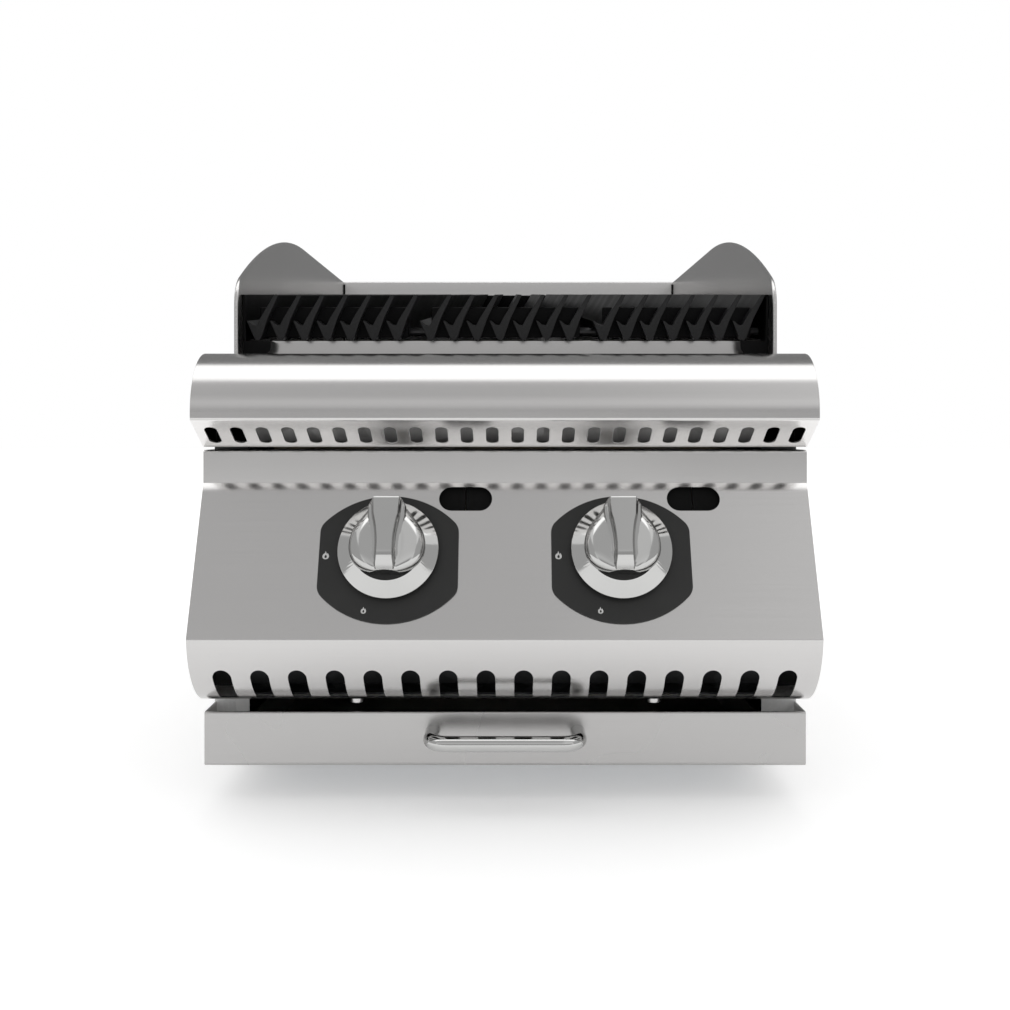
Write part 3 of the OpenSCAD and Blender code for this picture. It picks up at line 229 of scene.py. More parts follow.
# Stations of the folded sheets, in metres, taken from the packed model
TOP_LOW, TOP_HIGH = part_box("top_plate")
PANEL_LOW, PANEL_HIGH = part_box("control_panel")
CASE_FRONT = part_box("side_panel_left")[0].y
HALF_WIDTH = TOP_HIGH.x
# Height of the rods above the foot of the grates' bars, as a share of a bar's long arm
ROD_RISE = 0.16

SIDES = ((-1, "left"), (1, "right"))


def turned_left(v):
    """A direction in a plane, turned a quarter to the left."""
    return Vector((-v.y, v.x))


def polar(centre, radius, turn):
    """The point of a circle at an angle."""
    return Vector((centre[0] + radius * math.cos(turn), centre[1] + radius * math.sin(turn)))


def arc(centre, radius, start, end, step=math.radians(4)):
    """Points on an arc in a plane, both ends included."""
    count = max(1, math.ceil(abs(end - start) / step))
    return [polar(centre, radius, start + (end - start) * i / count) for i in range(count + 1)]


def rounded_path(corners, radii, step=math.radians(4)):
    """Points of a path whose corners are rounded, each with the offset for one unit to its left.

    A radius of zero leaves the corner sharp, and its offset is then that of the mitre.
    """
    corners = [Vector(q) for q in corners]
    first = (corners[1] - corners[0]).normalized()
    path = [(corners[0], turned_left(first))]
    for before, here, after, radius in zip(corners, corners[1:], corners[2:], radii):
        way_in, way_out = (here - before).normalized(), (after - here).normalized()
        left_in, left_out = turned_left(way_in), turned_left(way_out)
        turn = math.atan2(way_in.x * way_out.y - way_in.y * way_out.x, way_in.dot(way_out))
        if radius == 0 or abs(turn) < math.radians(0.01):
            path.append((here, (left_in + left_out) / (1 + left_in.dot(left_out))))
            continue
        start = here - way_in * radius * math.tan(abs(turn) / 2)
        side = math.copysign(1.0, turn)
        centre = start + left_in * radius * side
        count = max(1, math.ceil(abs(turn) / step))
        for i in range(count + 1):
            spin = Matrix.Rotation(turn * i / count, 2)
            path.append((centre - spin @ left_in * radius * side, spin @ left_in))
    last = (corners[-1] - corners[-2]).normalized()
    path.append((corners[-1], turned_left(last)))
    return path


def sheet_outline(path, thickness):
    """The closed section of a folded sheet that has its thickness on the left of a path."""
    outside = [point for point, left in path]
    inside = [point + left * thickness for point, left in path]
    return outside + inside[::-1]


def stadium(long_side, width, middle=(0.0, 0.0), steps=12):
    """Outline of a slot with round ends, long side along the first axis."""
    reach = (long_side - width) / 2
    quarter = math.pi / 2
    right = arc((middle[0] + reach, middle[1]), width / 2, -quarter, quarter, math.pi / steps)
    left = arc((middle[0] - reach, middle[1]), width / 2, quarter, 3 * quarter, math.pi / steps)
    return right + left


def rectangle(low, high):
    """Outline of a rectangle between two corners."""
    return [(low[0], low[1]), (high[0], low[1]), (high[0], high[1]), (low[0], high[1])]


def in_metres(points, size=MM):
    """Points given in millimetres, or in another size."""
    return [tuple(part * size for part in point) for point in points]


def circle(radius, steps=48, middle=(0.0, 0.0)):
    """Points all round a circle in a plane."""
    turns = [2 * math.pi * i / steps for i in range(steps)]
    return [(middle[0] + radius * math.cos(t), middle[1] + radius * math.sin(t)) for t in turns]


def ring(radius, height=0.0, steps=48):
    """A level circle of points in space."""
    return [(x, y, height) for x, y in circle(radius, steps)]


def smooth_loop(points, steps=6):
    """A closed outline drawn smoothly through a few points."""
    loop = []
    count = len(points)
    for i in range(count):
        a, b, c, d = (Vector(points[(i + k) % count]) for k in (-1, 0, 1, 2))
        for s in range(steps):
            t = s / steps
            loop.append((2 * b + (c - a) * t + (2 * a - 5 * b + 4 * c - d) * t * t
                         + (3 * b - a - 3 * c + d) * t * t * t) / 2)
    return loop


class Shape:
    """Points and faces that are gathered into one mesh."""

    def __init__(self):
        self.points = []
        self.faces = []

    def loft(self, rings, place=Matrix.Identity(4), closed=False):
        """Joins rings of equally many points, and caps both ends or joins them as well."""
        count = len(rings[0])
        starts = [len(self.points) + k * count for k in range(len(rings))]
        self.points += [place @ Vector(point) for loop in rings for point in loop]
        ends = starts[1:] + starts[:1] if closed else starts[1:]
        for low, high in zip(starts, ends):
            for i in range(count):
                j = (i + 1) % count
                self.faces.append((low + i, low + j, high + j, high + i))
        if not closed:
            self.faces.append(tuple(range(starts[0], starts[0] + count))[::-1])
            self.faces.append(tuple(range(starts[-1], starts[-1] + count)))
        return self

    def prism(self, outline, low, high, place=Matrix.Identity(4)):
        """An outline in X and Y, drawn out along Z between two heights."""
        return self.loft([[(x, y, z) for x, y in outline] for z in (low, high)], place)

    def along_x(self, outline, low, high):
        """An outline in Y and Z, drawn out along X."""
        return self.loft([[(x, y, z) for y, z in outline] for x in (low, high)])

    def block(self, low, high):
        """A box between two corners."""
        return self.prism(rectangle(low, high), low[2], high[2])

    def turned(self, profile, place=Matrix.Identity(4), steps=64):
        """A lathe-turned form from pairs of radius and height."""
        return self.loft([ring(r, z, steps) for r, z in profile], place)

    def tube(self, route, radius, steps=24):
        """A round rod along a route of points that stays in one plane or bends gently."""
        route = [Vector(p) for p in route]
        rings = []
        side = None
        for i, point in enumerate(route):
            way = (route[min(i + 1, len(route) - 1)] - route[max(i - 1, 0)]).normalized()
            if side is None:
                side = way.orthogonal().normalized()
            side = (side - way * side.dot(way)).normalized()
            other = way.cross(side)
            rings.append([point + side * radius * math.cos(2 * math.pi * k / steps)
                          + other * radius * math.sin(2 * math.pi * k / steps)
                          for k in range(steps)])
        return self.loft(rings)

    def piece(self, name):
        """The gathered mesh as one object, with its faces turned outwards."""
        piece = skin(name, self.points, self.faces)
        tidy(piece.data)
        return piece


def link(name, data):
    """A new object in the scene."""
    piece = bpy.data.objects.new(name, data)
    bpy.context.scene.collection.objects.link(piece)
    return piece


def skin(name, points, faces):
    """An object from points and faces."""
    mesh = bpy.data.meshes.new(name)
    mesh.from_pydata(points, [], faces)
    return link(name, mesh)


def meshed(work, name):
    """An object from a bmesh, which is freed."""
    mesh = bpy.data.meshes.new(name)
    work.to_mesh(mesh)
    work.free()
    return link(name, mesh)


def tidy(mesh, reach=1e-6, flat=0.0):
    """Merges doubled points, and faces that meet flatter than an angle, and turns all outwards."""
    work = bmesh.new()
    work.from_mesh(mesh)
    bmesh.ops.remove_doubles(work, verts=work.verts, dist=reach)
    if flat:
        bmesh.ops.dissolve_limit(work, angle_limit=flat, verts=work.verts, edges=work.edges)
    bmesh.ops.recalc_face_normals(work, faces=work.faces)
    work.to_mesh(mesh)
    work.free()
    mesh.update()


def evaluated(piece):
    """A piece's mesh as its modifiers or its curve's settings make it."""
    graph = bpy.context.evaluated_depsgraph_get()
    return bpy.data.meshes.new_from_object(piece.evaluated_get(graph), depsgraph=graph)


def settle(piece):
    """Applies a piece's modifiers to its mesh."""
    mesh = evaluated(piece)
    mesh.name = piece.name
    piece.modifiers.clear()
    piece.data = mesh
    return piece


def carve(piece, cutter, operation="DIFFERENCE"):
    """Cuts a shape out of a piece, or welds it on."""
    tool = cutter.piece("cutter") if isinstance(cutter, Shape) else cutter
    step = piece.modifiers.new("carve", "BOOLEAN")
    step.operation = operation
    step.solver = "EXACT"
    step.use_self = operation == "UNION"
    step.object = tool
    bpy.context.view_layer.update()
    settle(piece)
    bpy.data.objects.remove(tool)
    tidy(piece.data)
    if not piece.data.polygons:
        raise RuntimeError("cutting %s left nothing of it" % piece.name)
    return piece


def shaded(piece, sharp_from=0.0):
    """Shades a piece smoothly from its large faces, save at edges sharper than an angle."""
    piece.data.shade_smooth()
    if sharp_from:
        piece.data.set_sharp_from_angle(angle=sharp_from)
    shading = piece.modifiers.new("shading", "WEIGHTED_NORMAL")
    shading.keep_sharp = bool(sharp_from)
    shading.weight = 100
    return settle(piece)


def soften(piece, width=0.0, segments=2, limit=math.radians(32)):
    """Rounds a piece's sharp edges, or keeps them where no width is given, and shades it."""
    if width:
        edge = piece.modifiers.new("edges", "BEVEL")
        edge.width = width
        edge.segments = segments
        edge.limit_method = "ANGLE"
        edge.angle_limit = limit
        edge.miter_outer = "MITER_ARC"
    return shaded(piece, 0.0 if width else limit)


def plate(name, outlines, thickness, edge, place=Matrix.Identity(4)):
    """A flat plate with holes and rounded edges, standing on the X-Y plane of a place."""
    curve = bpy.data.curves.new(name, "CURVE")
    curve.dimensions = "2D"
    curve.fill_mode = "BOTH"
    curve.extrude = thickness / 2 - edge
    curve.bevel_depth = edge
    curve.bevel_resolution = 1
    curve.offset = -edge
    for outline in outlines:
        spline = curve.splines.new("POLY")
        spline.points.add(len(outline) - 1)
        for point, (x, y) in zip(spline.points, outline):
            point.co = (x, y, 0.0, 1.0)
        spline.use_cyclic_u = True
    holder = link(name, curve)
    mesh = evaluated(holder)
    bpy.data.objects.remove(holder)
    mesh.transform(place @ Matrix.Translation((0, 0, thickness / 2)))
    mesh.name = name
    tidy(mesh, 2e-6)
    return shaded(link(name, mesh))


def eased_copy(node, name, width, segments=2, finish=None):
    """A dressed copy of a CAD node's mesh with merged faces and rounded edges."""
    mesh = frame["nodes"][node].data.copy()
    tidy(mesh, flat=math.radians(0.4))
    return stand_in(soften(link(name, mesh), width, segments, math.radians(40)), node, finish)


class Finish:
    """One procedural finish, with short ways to add its patterns."""

    def __init__(self, name, base, roughness, metallic=0.0, specular=0.5):
        self.material = bpy.data.materials.new(name)
        self.material.use_nodes = True
        self.tree = self.material.node_tree
        self.shader = self.tree.nodes["Principled BSDF"]
        for key, value in (("Base Color", (*base, 1.0)), ("Roughness", roughness),
                           ("Metallic", metallic), ("Specular IOR Level", specular)):
            self.shader.inputs[key].default_value = value
        self.base = base
        self.surface = None
        self.coordinates = self.add("TexCoord").outputs["Object"]

    def add(self, kind, inputs=(), **settings):
        """A shader node whose inputs are numbers, colours or other nodes' outputs."""
        node = self.tree.nodes.new("ShaderNode" + kind)
        for key, value in settings.items():
            setattr(node, key, value)
        for key, value in dict(inputs).items():
            if isinstance(value, bpy.types.NodeSocket):
                self.tree.links.new(value, node.inputs[key])
            else:
                node.inputs[key].default_value = value
        return node

    def stretched(self, stretch):
        """The object's coordinates, drawn out so that a pattern becomes a grain."""
        return self.add("Mapping", {"Vector": self.coordinates, "Scale": stretch}).outputs[0]

    def height(self):
        """The height of a point above the table."""
        return self.add("SeparateXYZ", {"Vector": self.coordinates}).outputs["Z"]

    def combine(self, operation, first, second):
        """Two values combined by one mathematical operation."""
        return self.add("Math", {0: first, 1: second}, operation=operation).outputs[0]

    def grain(self, scale, detail, stretch=(1, 1, 1), distortion=0.0):
        """Noise between 0 and 1."""
        return self.add("TexNoise", {
            "Vector": self.stretched(stretch), "Scale": scale, "Detail": detail,
            "Distortion": distortion}).outputs["Fac"]

    def cells(self, scale, output="Distance"):
        """Distances or colours of scattered cells."""
        inputs = {"Vector": self.stretched((1, 1, 1)), "Scale": scale}
        return self.add("TexVoronoi", inputs).outputs[output]

    def ranged(self, factor, low, high, to_low=0.0, to_high=1.0):
        """A factor's run between two values, spread over another run and held at its ends."""
        return self.add("MapRange", {
            "Value": factor, "From Min": low, "From Max": high,
            "To Min": to_low, "To Max": to_high}).outputs[0]

    def tint(self, factor, shade):
        """Mixes a shade into the surface colour where the factor is high."""
        current = self.surface or (*self.base, 1.0)
        mix = self.add("Mix", {0: factor, 6: current, 7: (*shade, 1.0)}, data_type="RGBA")
        self.surface = mix.outputs[2]
        self.tree.links.new(self.surface, self.shader.inputs["Base Color"])
        return self

    def stain(self, pattern, low, high, share, shade, start=0.0):
        """Mixes in a shade, or a multiple of the base, by a share that follows a pattern."""
        if isinstance(shade, float):
            shade = shade_of(self.base, shade)
        return self.tint(self.ranged(pattern, low, high, start, share), shade)

    def gloss(self, factor, low, high):
        """Lets the roughness run between two values."""
        spread = self.ranged(factor, 0.25, 0.75, low, high)
        self.tree.links.new(spread, self.shader.inputs["Roughness"])
        return self

    def relief(self, factor, height, strength=1.0):
        """Raises the surface by a height in metres where the factor is high."""
        inputs = {"Height": factor, "Distance": height, "Strength": strength}
        source = self.shader.inputs["Normal"].links
        if source:
            inputs["Normal"] = source[0].from_socket
        bump = self.add("Bump", inputs)
        self.tree.links.new(bump.outputs[0], self.shader.inputs["Normal"])
        return self


def shade_of(base, factor):
    """A colour times a factor, no brighter than white."""
    return tuple(min(1.0, channel * factor) for channel in base)


def brushed_finish(name, base, roughness, grain_along="X", contrast=1.0):
    """Satin stainless: fine drawn grain and slow clouds."""
    fine, coarse = 1400.0, 9.0
    stretch = (coarse, fine, fine) if grain_along == "X" else (fine, coarse, coarse)
    finish = Finish(name, base, roughness, metallic=1.0)
    lines = finish.grain(1.0, 4.0, stretch)
    clouds = finish.grain(7.0, 2.0)
    finish.stain(lines, 0.3, 0.75, 0.10 * contrast, 0.72)
    finish.stain(clouds, 0.35, 0.7, 0.10 * contrast, 1.10)
    finish.gloss(clouds, roughness * 0.92, roughness * 1.1)
    return finish.relief(lines, 0.004 * MM * contrast, 0.35)


def panel_finish(name, base, roughness, panel):
    """The panel's satin sheet, which leans back softly below its upper fold."""
    finish = brushed_finish(name, base, roughness)
    bend = panel_lines(panel)[1]
    power = 1.6
    share = finish.ranged(finish.height(), bend.y - panel.lean_reach, bend.y)
    fall = finish.combine("MULTIPLY", finish.combine("POWER", share, power), -1.0)
    return finish.relief(fall, panel.lean_slope * panel.lean_reach / power)


def chrome_finish(name, base):
    """Polished chrome with a trace of haze and hairline wear."""
    finish = Finish(name, base, 0.09, metallic=1.0)
    haze = finish.grain(60.0, 3.0)
    finish.stain(haze, 0.4, 0.7, 0.12, 0.86)
    finish.gloss(haze, 0.075, 0.12)
    return finish.relief(finish.grain(1.0, 2.0, (2500, 2500, 60)), 0.0008 * MM, 0.2)


def iron_finish(name, base, bump=0.12, specular=0.22):
    """Seasoned cast iron: grainy skin with paler specks, faint stains and a dull oily sheen."""
    finish = Finish(name, base, 0.52, specular=specular)
    skin_grain = finish.grain(900.0, 4.0)
    stains = finish.grain(22.0, 3.0)
    finish.stain(skin_grain, 0.45, 0.7, 0.35, 2.4)
    finish.stain(stains, 0.5, 0.75, 0.5, 1.4)
    finish.gloss(stains, 0.42, 0.6)
    finish.relief(skin_grain, bump * MM, 0.7)
    return finish.relief(finish.grain(160.0, 2.0), 2 * bump * MM, 0.6)


def lava_finish(name, base):
    """Porous basalt: open pores of two sizes, ash-grey crests and rusty flecks."""
    finish = Finish(name, base, 0.93, specular=0.25)
    pores = finish.cells(190.0)
    fine_pores = finish.cells(520.0)
    patches = finish.grain(55.0, 4.0)
    finish.stain(patches, 0.42, 0.66, 0.75, (0.17, 0.155, 0.145))
    finish.stain(patches, 0.62, 0.72, 0.6, (0.11, 0.05, 0.028))
    finish.stain(pores, 0.10, 0.36, 0.0, (0.012, 0.011, 0.010), start=0.85)
    finish.stain(fine_pores, 0.08, 0.3, 0.0, (0.02, 0.018, 0.016), start=0.6)
    finish.relief(finish.ranged(pores, 0.05, 0.45), 1.4 * MM, 0.9)
    return finish.relief(finish.ranged(fine_pores, 0.05, 0.4), 0.5 * MM, 0.7)


def plastic_finish(name, base, roughness=0.42, specular=0.3):
    """Satin black moulding with a fine spark-eroded texture."""
    finish = Finish(name, base, roughness, specular=specular)
    wear = finish.grain(45.0, 3.0)
    finish.stain(wear, 0.4, 0.7, 0.35, 1.35)
    finish.gloss(wear, roughness * 0.9, roughness * 1.2)
    return finish.relief(finish.grain(2600.0, 2.0), 0.02 * MM, 0.5)


def ink_finish(name, base):
    """Printed mark: matt ink that is a little thin in places."""
    finish = Finish(name, base, 0.55)
    cover = finish.grain(1500.0, 2.0)
    finish.stain(cover, 0.5, 0.75, 0.35, 0.6)
    return finish.relief(cover, 0.01 * MM, 0.4)


def brass_finish(name, base):
    """Turned brass with tool lines and a brown tarnish."""
    finish = Finish(name, base, 0.26, metallic=1.0)
    tarnish = finish.grain(48.0, 4.0)
    finish.stain(tarnish, 0.45, 0.75, 0.65, (0.33, 0.19, 0.075))
    finish.gloss(tarnish, 0.2, 0.42)
    return finish.relief(finish.grain(1.0, 2.0, (30, 1600, 30)), 0.02 * MM, 0.5)


def pipe_finish(name, base):
    """Drawn tube: a fine uneven skin and dull handling stains."""
    finish = Finish(name, base, 0.3, metallic=1.0)
    stains = finish.grain(36.0, 3.0)
    finish.stain(stains, 0.45, 0.75, 0.55, 0.5)
    finish.gloss(stains, 0.24, 0.46)
    return finish.relief(finish.grain(320.0, 3.0), 0.03 * MM, 0.4)


def zinc_finish(name, base, metallic=1.0):
    """Galvanised sheet with its crystal flowers."""
    finish = Finish(name, base, 0.38, metallic=metallic)
    grey = finish.add("RGBToBW", {"Color": finish.cells(75.0, "Color")}).outputs[0]
    dust = finish.grain(500.0, 3.0)
    finish.stain(grey, 0.2, 0.8, 0.45, 0.62)
    finish.stain(dust, 0.5, 0.8, 0.25, 1.25)
    finish.gloss(grey, 0.30, 0.48)
    return finish.relief(dust, 0.01 * MM, 0.4)


def height_shaded_zinc_finish(name, base, metallic, low, high, below, above):
    """Zinc darkened towards near black by height, as painted shade: from a share below one height
    to a share above another.
    """
    finish = zinc_finish(name, base, metallic)
    return finish.stain(finish.height(), low, high, above, 0.03, start=below)


def heated_finish(name, base):
    """Steel that has seen the flame: straw, bronze and blue tints under soot."""
    finish = Finish(name, base, 0.36, metallic=1.0)
    bands = finish.grain(14.0, 3.0, (1, 1, 2.5), 0.4)
    soot = finish.grain(60.0, 4.0)
    finish.stain(bands, 0.42, 0.52, 0.6, (0.44, 0.31, 0.16))
    finish.stain(bands, 0.55, 0.62, 0.55, (0.16, 0.15, 0.26))
    finish.stain(soot, 0.5, 0.75, 0.75, (0.035, 0.032, 0.030))
    finish.gloss(soot, 0.28, 0.56)
    return finish.relief(finish.grain(1.0, 3.0, (9, 900, 900)), 0.01 * MM, 0.4)


def enamel_finish(name, base):
    """Black enamel with a slight orange peel."""
    finish = Finish(name, base, 0.25)
    dust = finish.grain(70.0, 4.0)
    finish.stain(dust, 0.5, 0.75, 0.4, 2.2)
    finish.gloss(dust, 0.2, 0.36)
    return finish.relief(finish.grain(380.0, 1.0), 0.03 * MM, 0.5)


def rubber_finish(name, base):
    """Moulded rubber, dull and faintly dusty."""
    finish = Finish(name, base, 0.78, specular=0.3)
    dust = finish.grain(90.0, 4.0)
    finish.stain(dust, 0.45, 0.75, 0.5, 2.4)
    finish.gloss(dust, 0.7, 0.88)
    return finish.relief(finish.grain(1200.0, 3.0), 0.04 * MM, 0.6)


def make_finishes(colours, panel):
    """The material of each slot of the record, and of some single pieces and faces."""
    steel, zinc = tuple(colours.steel), tuple(colours.zinc)
    # A pale, dull zinc that paints light on faces that lie in shade
    painted_light_zinc = (0.84, 0.84, 0.83)
    finishes = {
        "stainless_sheet": brushed_finish("sheet_brushed", steel, 0.27),
        "worktop_steel": brushed_finish("worktop_satin", shade_of(steel, 1.02), 0.20),
        "panel_steel": panel_finish("panel_satin", steel, 0.21, panel),
        "guard_steel": brushed_finish("guard_satin", shade_of(steel, 0.99), 0.25),
        "tray_steel": brushed_finish("tray_mill", shade_of(steel, 0.9), 0.33, "Y", 1.4),
        "firebox_steel": heated_finish("firebox_heated", (0.42, 0.40, 0.38)),
        "galvanised": zinc_finish("pan_zinc", zinc),
        # Painted light: the nose's underside gets a brighter copy of the steel
        "brightened_underside": brushed_finish("underside_painted_light", shade_of(steel, 1.5), 0.2),
        # Painted light: pale, dull zinc for the panel lip's upward faces
        "lit_lip": zinc_finish("flange_zinc", painted_light_zinc, 0.0),
        # Painted shade: the front cross bar darkens towards the bottom
        "shaded_rail": height_shaded_zinc_finish("rail_shade_zinc", shade_of(steel, 0.95), 1.0, 0.2395, 0.2485, 0.95, 0.0),
        # Painted light and shade: the side sheets' front faces are pale below 68.5 mm and near
        # black above 72 mm
        "flange": height_shaded_zinc_finish("flange_light_shade_zinc", painted_light_zinc, 0.0, 0.0685, 0.072, 0.0, 0.98),
        # Painted shade: the lower cross bar is darkened to near black
        "shaded_crossbar": zinc_finish("crossbar_shade_zinc", shade_of(zinc, 0.14)),
        "burner_steel": heated_finish("burner_heated", (0.50, 0.47, 0.44)),
        "bezel_plastic": plastic_finish("bezel_satin", tuple(colours.bezel)),
        "knob_chrome": chrome_finish("knob_polish", tuple(colours.chrome)),
        "handle_chrome": chrome_finish("handle_polish", tuple(colours.chrome)),
        "brass": brass_finish("tap_brass", tuple(colours.brass)),
        "pipe_alloy": pipe_finish("pipe_drawn", (0.60, 0.60, 0.59)),
        "grid_iron": iron_finish("grid_skin", (0.03, 0.028, 0.027), 0.2),
        "lava_stone": lava_finish("stone_pores", tuple(colours.lava)),
        "black_enamel": enamel_finish("black_glaze", (0.018, 0.018, 0.019)),
        "cast_iron": iron_finish("grate_iron", tuple(colours.cast_iron), 0.18),
        "screw_steel": brushed_finish("screw_bright", shade_of(steel, 0.98), 0.24, "X", 0.8),
        "foot_rubber": rubber_finish("foot_rubber", tuple(colours.rubber)),
        "ink": ink_finish("bezel_ink", tuple(colours.marks)),
        # Painted shade: near-black liners for the windows' openings and the guard's corner gaps
        "shade_liner": plastic_finish("shade_liner_black", (0.0025, 0.0025, 0.0025), 0.6, 0.12),
        # Painted shade: near-black iron for the grates' webs and rail castings
        "soot": iron_finish("web_shade_iron", (0.0025, 0.0025, 0.0027), 0.12, 0.08),
        # Painted shade: the drawer front gets a darker copy of the steel
        "drawer": brushed_finish("drawer_shaded_satin", shade_of(steel, 0.78), 0.27),
    }
    return {key: finish.material for key, finish in finishes.items()}


FINISHES = {}


def dress(piece, slot, body="body", replaced=(), finish=None):
    """Gives a piece its finish, its body and the CAD nodes that it stands for."""
    piece.data.materials.clear()
    piece.data.materials.append(FINISHES[finish or slot])
    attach(piece, body)
    if replaced:
        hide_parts(*replaced)
    return piece


def stand_in(piece, node, finish=None):
    """Dresses a piece that stands for one CAD node, and lets it ride on that node's body."""
    return dress(piece, NODE_SLOTS[node], body_of_node(node), [node], finish)


def repaint(piece, finish, chosen):
    """Gives the faces that pass a test of their middle and normal another finish."""
    piece.data.materials.append(FINISHES[finish])
    for face in piece.data.polygons:
        if chosen(face.center, face.normal):
            face.material_index = len(piece.data.materials) - 1


def body_of_node(node):
    """The name of the body that carries a CAD node."""
    return frame["nodes"][node]["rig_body"]


def panel_lines(panel):
    """The control panel's corners in Y and Z, from the strip's top down to its crease."""
    strip_y = PANEL_LOW.y + panel.strip_depth
    strip_top = PANEL_HIGH.z
    crease = Vector((PANEL_LOW.y, PANEL_LOW.z + panel.nose_height))
    bend = Vector((strip_y, strip_top - panel.strip_height))
    return Vector((strip_y, strip_top)), bend, crease


def on_panel(x, drop):
    """A place on the raked face: Z points out of the panel and Y up its slope."""
    bend, crease = panel_lines(bpy.context.scene.grill_panel)[1:]
    up = (bend - crease).normalized()
    origin = bend - up * drop
    out = Vector((0.0, -up.y, up.x))
    return Matrix(((1, 0, 0, x), (0, up.x, out.y, origin.x),
                   (0, up.y, out.z, origin.y), (0, 0, 0, 1)))


def on_slope():
    """The grates' sloped place: X to the right, Y up the slope, Z square to it."""
    grates = bpy.context.scene.grill_grates
    rods_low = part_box("grate_rods")[0]
    radius = grates.rod_diameter / 2
    first_rod = Vector((0.0, rods_low.y + radius, rods_low.z + radius))
    turn = Matrix.Rotation(grates.slope, 4, "X")
    start = first_rod - turn @ Vector((0.0, grates.rod_setback, ROD_RISE * grates.arm_height))
    return Matrix.Translation(start) @ turn


def slot_row(count, pitch):
    """Places at a pitch, as many on the left as on the right."""
    return [(i - (count - 1) / 2) * pitch for i in range(count)]


def fitting(room, width, pitch):
    """How many pieces of one width fit into a length at a given pitch."""
    return math.floor((room - width) / pitch + 1e-6) + 1


class GRILL_OT_stage(bpy.types.Operator):
    """Makes the camera, the floor, the softbox and the grey cards round the grill"""
    bl_idname = "grill.stage"
    bl_label = "Stage"

    camera_place = (0.005, -1.02072, 0.2557)
    camera_lens = 41.347
    camera_shift = (-0.0076, -0.0842)
    floor_reach = 9.0
    floor_lift = 0.26
    card_radius = 3.0
    card_height = 0.25
    card_half_width = 3.4
    side_card_reach = 2.6
    side_card_height = 2.2
    # Angles in degrees up from the front, and where a gain to the right starts and ends in X
    top_span = (61.0, 100.0)
    rear_span = (100.0, 176.0)
    gain_span = (0.15, 0.95)
    # First and last angle of each front card, its share of the level and its gain to the right
    front_shares = [(-4.8, 8.0, 0.8, -0.08), (8.0, 12.0, 1.08, 0.1), (12.0, 16.0, 1.22, 0.18),
                    (16.0, 20.0, 1.27, 0.18), (20.0, 24.0, 1.18, 0.2), (24.0, 28.0, 1.06, 0.3),
                    (28.0, 58.0, 0.97, 0.36)]

    def execute(self, context):
        levels = context.scene.grill_stage
        self.add_camera(context.scene)
        self.add_surround(context.scene, levels.surround)
        self.add_floor()
        for count, (first, last, share, gain) in enumerate(self.front_shares):
            self.add_card("front_card_%d" % count, first, last, levels.front_card * share, gain)
        self.add_card("top_card", *self.top_span, levels.softbox)
        self.add_card("rear_card", *self.rear_span, levels.rear_card)
        for side, name in SIDES:
            points = [(side * self.card_half_width, y, z) for y, z in rectangle(
                (-self.side_card_reach, 0.0), (self.side_card_reach, self.side_card_height))]
            self.light_card("side_card_" + name, points, [(0, 1, 2, 3)], levels.side_card)
        return {"FINISHED"}

    def add_camera(self, scene):
        data = bpy.data.cameras.new("front_camera")
        data.lens = self.camera_lens
        data.sensor_width = 36.0
        data.shift_x, data.shift_y = self.camera_shift
        camera = link("front_camera", data)
        camera.location = self.camera_place
        camera.rotation_euler = (math.pi / 2, 0.0, 0.0)
        scene.camera = camera

    def add_surround(self, scene, level):
        world = bpy.data.worlds.new("white_surround")
        world.use_nodes = True
        background = world.node_tree.nodes["Background"]
        background.inputs["Color"].default_value = (1.0, 1.0, 1.0, 1.0)
        background.inputs["Strength"].default_value = level
        scene.world = world

    def add_floor(self):
        """White paper that glows a little for rays that see it directly or in a reflection."""
        reach = self.floor_reach
        corners = [(x, y, 0) for x, y in rectangle((-reach, -reach), (reach, reach))]
        floor = skin("floor", corners, [(0, 1, 2, 3)])
        paper = Finish("floor_paper", (0.94, 0.94, 0.94), 0.9, specular=0.0)
        paths = paper.add("LightPath").outputs
        seen = paths["Is Camera Ray"]
        for ray in ("Is Glossy Ray", "Is Transmission Ray"):
            seen = paper.combine("MAXIMUM", seen, paths[ray])
        lift = paper.combine("MULTIPLY", seen, self.floor_lift)
        paper.shader.inputs["Emission Color"].default_value = (1.0, 1.0, 1.0, 1.0)
        paper.tree.links.new(lift, paper.shader.inputs["Emission Strength"])
        floor.data.materials.append(paper.material)

    def add_card(self, name, first, last, level, gain=0.0):
        """A curved card across the front or the back, seen only in reflections."""
        line = arc((0.0, self.card_height), self.card_radius,
                   math.radians(first), math.radians(last), math.radians(6))
        width = self.card_half_width
        points = [(x, -y, z) for y, z in line for x in (-width, width)]
        faces = [(2 * i, 2 * i + 1, 2 * i + 3, 2 * i + 2) for i in range(len(line) - 1)]
        self.light_card(name, points, faces, level, gain)

    def light_card(self, name, points, faces, level, gain=0.0):
        """A glowing card whose level may grow towards the right."""
        card = skin(name, points, faces)
        glow = Finish(name, (0.0, 0.0, 0.0), 1.0)
        if gain:
            across = glow.add("SeparateXYZ", {"Vector": glow.coordinates}).outputs["X"]
            level = glow.ranged(across, *self.gain_span, level, level * (1 + gain))
        light = glow.add("Emission", {"Color": (1.0, 1.0, 1.0, 1.0), "Strength": level})
        nodes = glow.tree.nodes
        glow.tree.links.new(light.outputs[0], nodes["Material Output"].inputs["Surface"])
        nodes.remove(glow.shader)
        glow.material.cycles.emission_sampling = "NONE"
        card.data.materials.append(glow.material)
        for ray in ("camera", "diffuse", "transmission", "volume_scatter", "shadow"):
            setattr(card, "visible_" + ray, False)


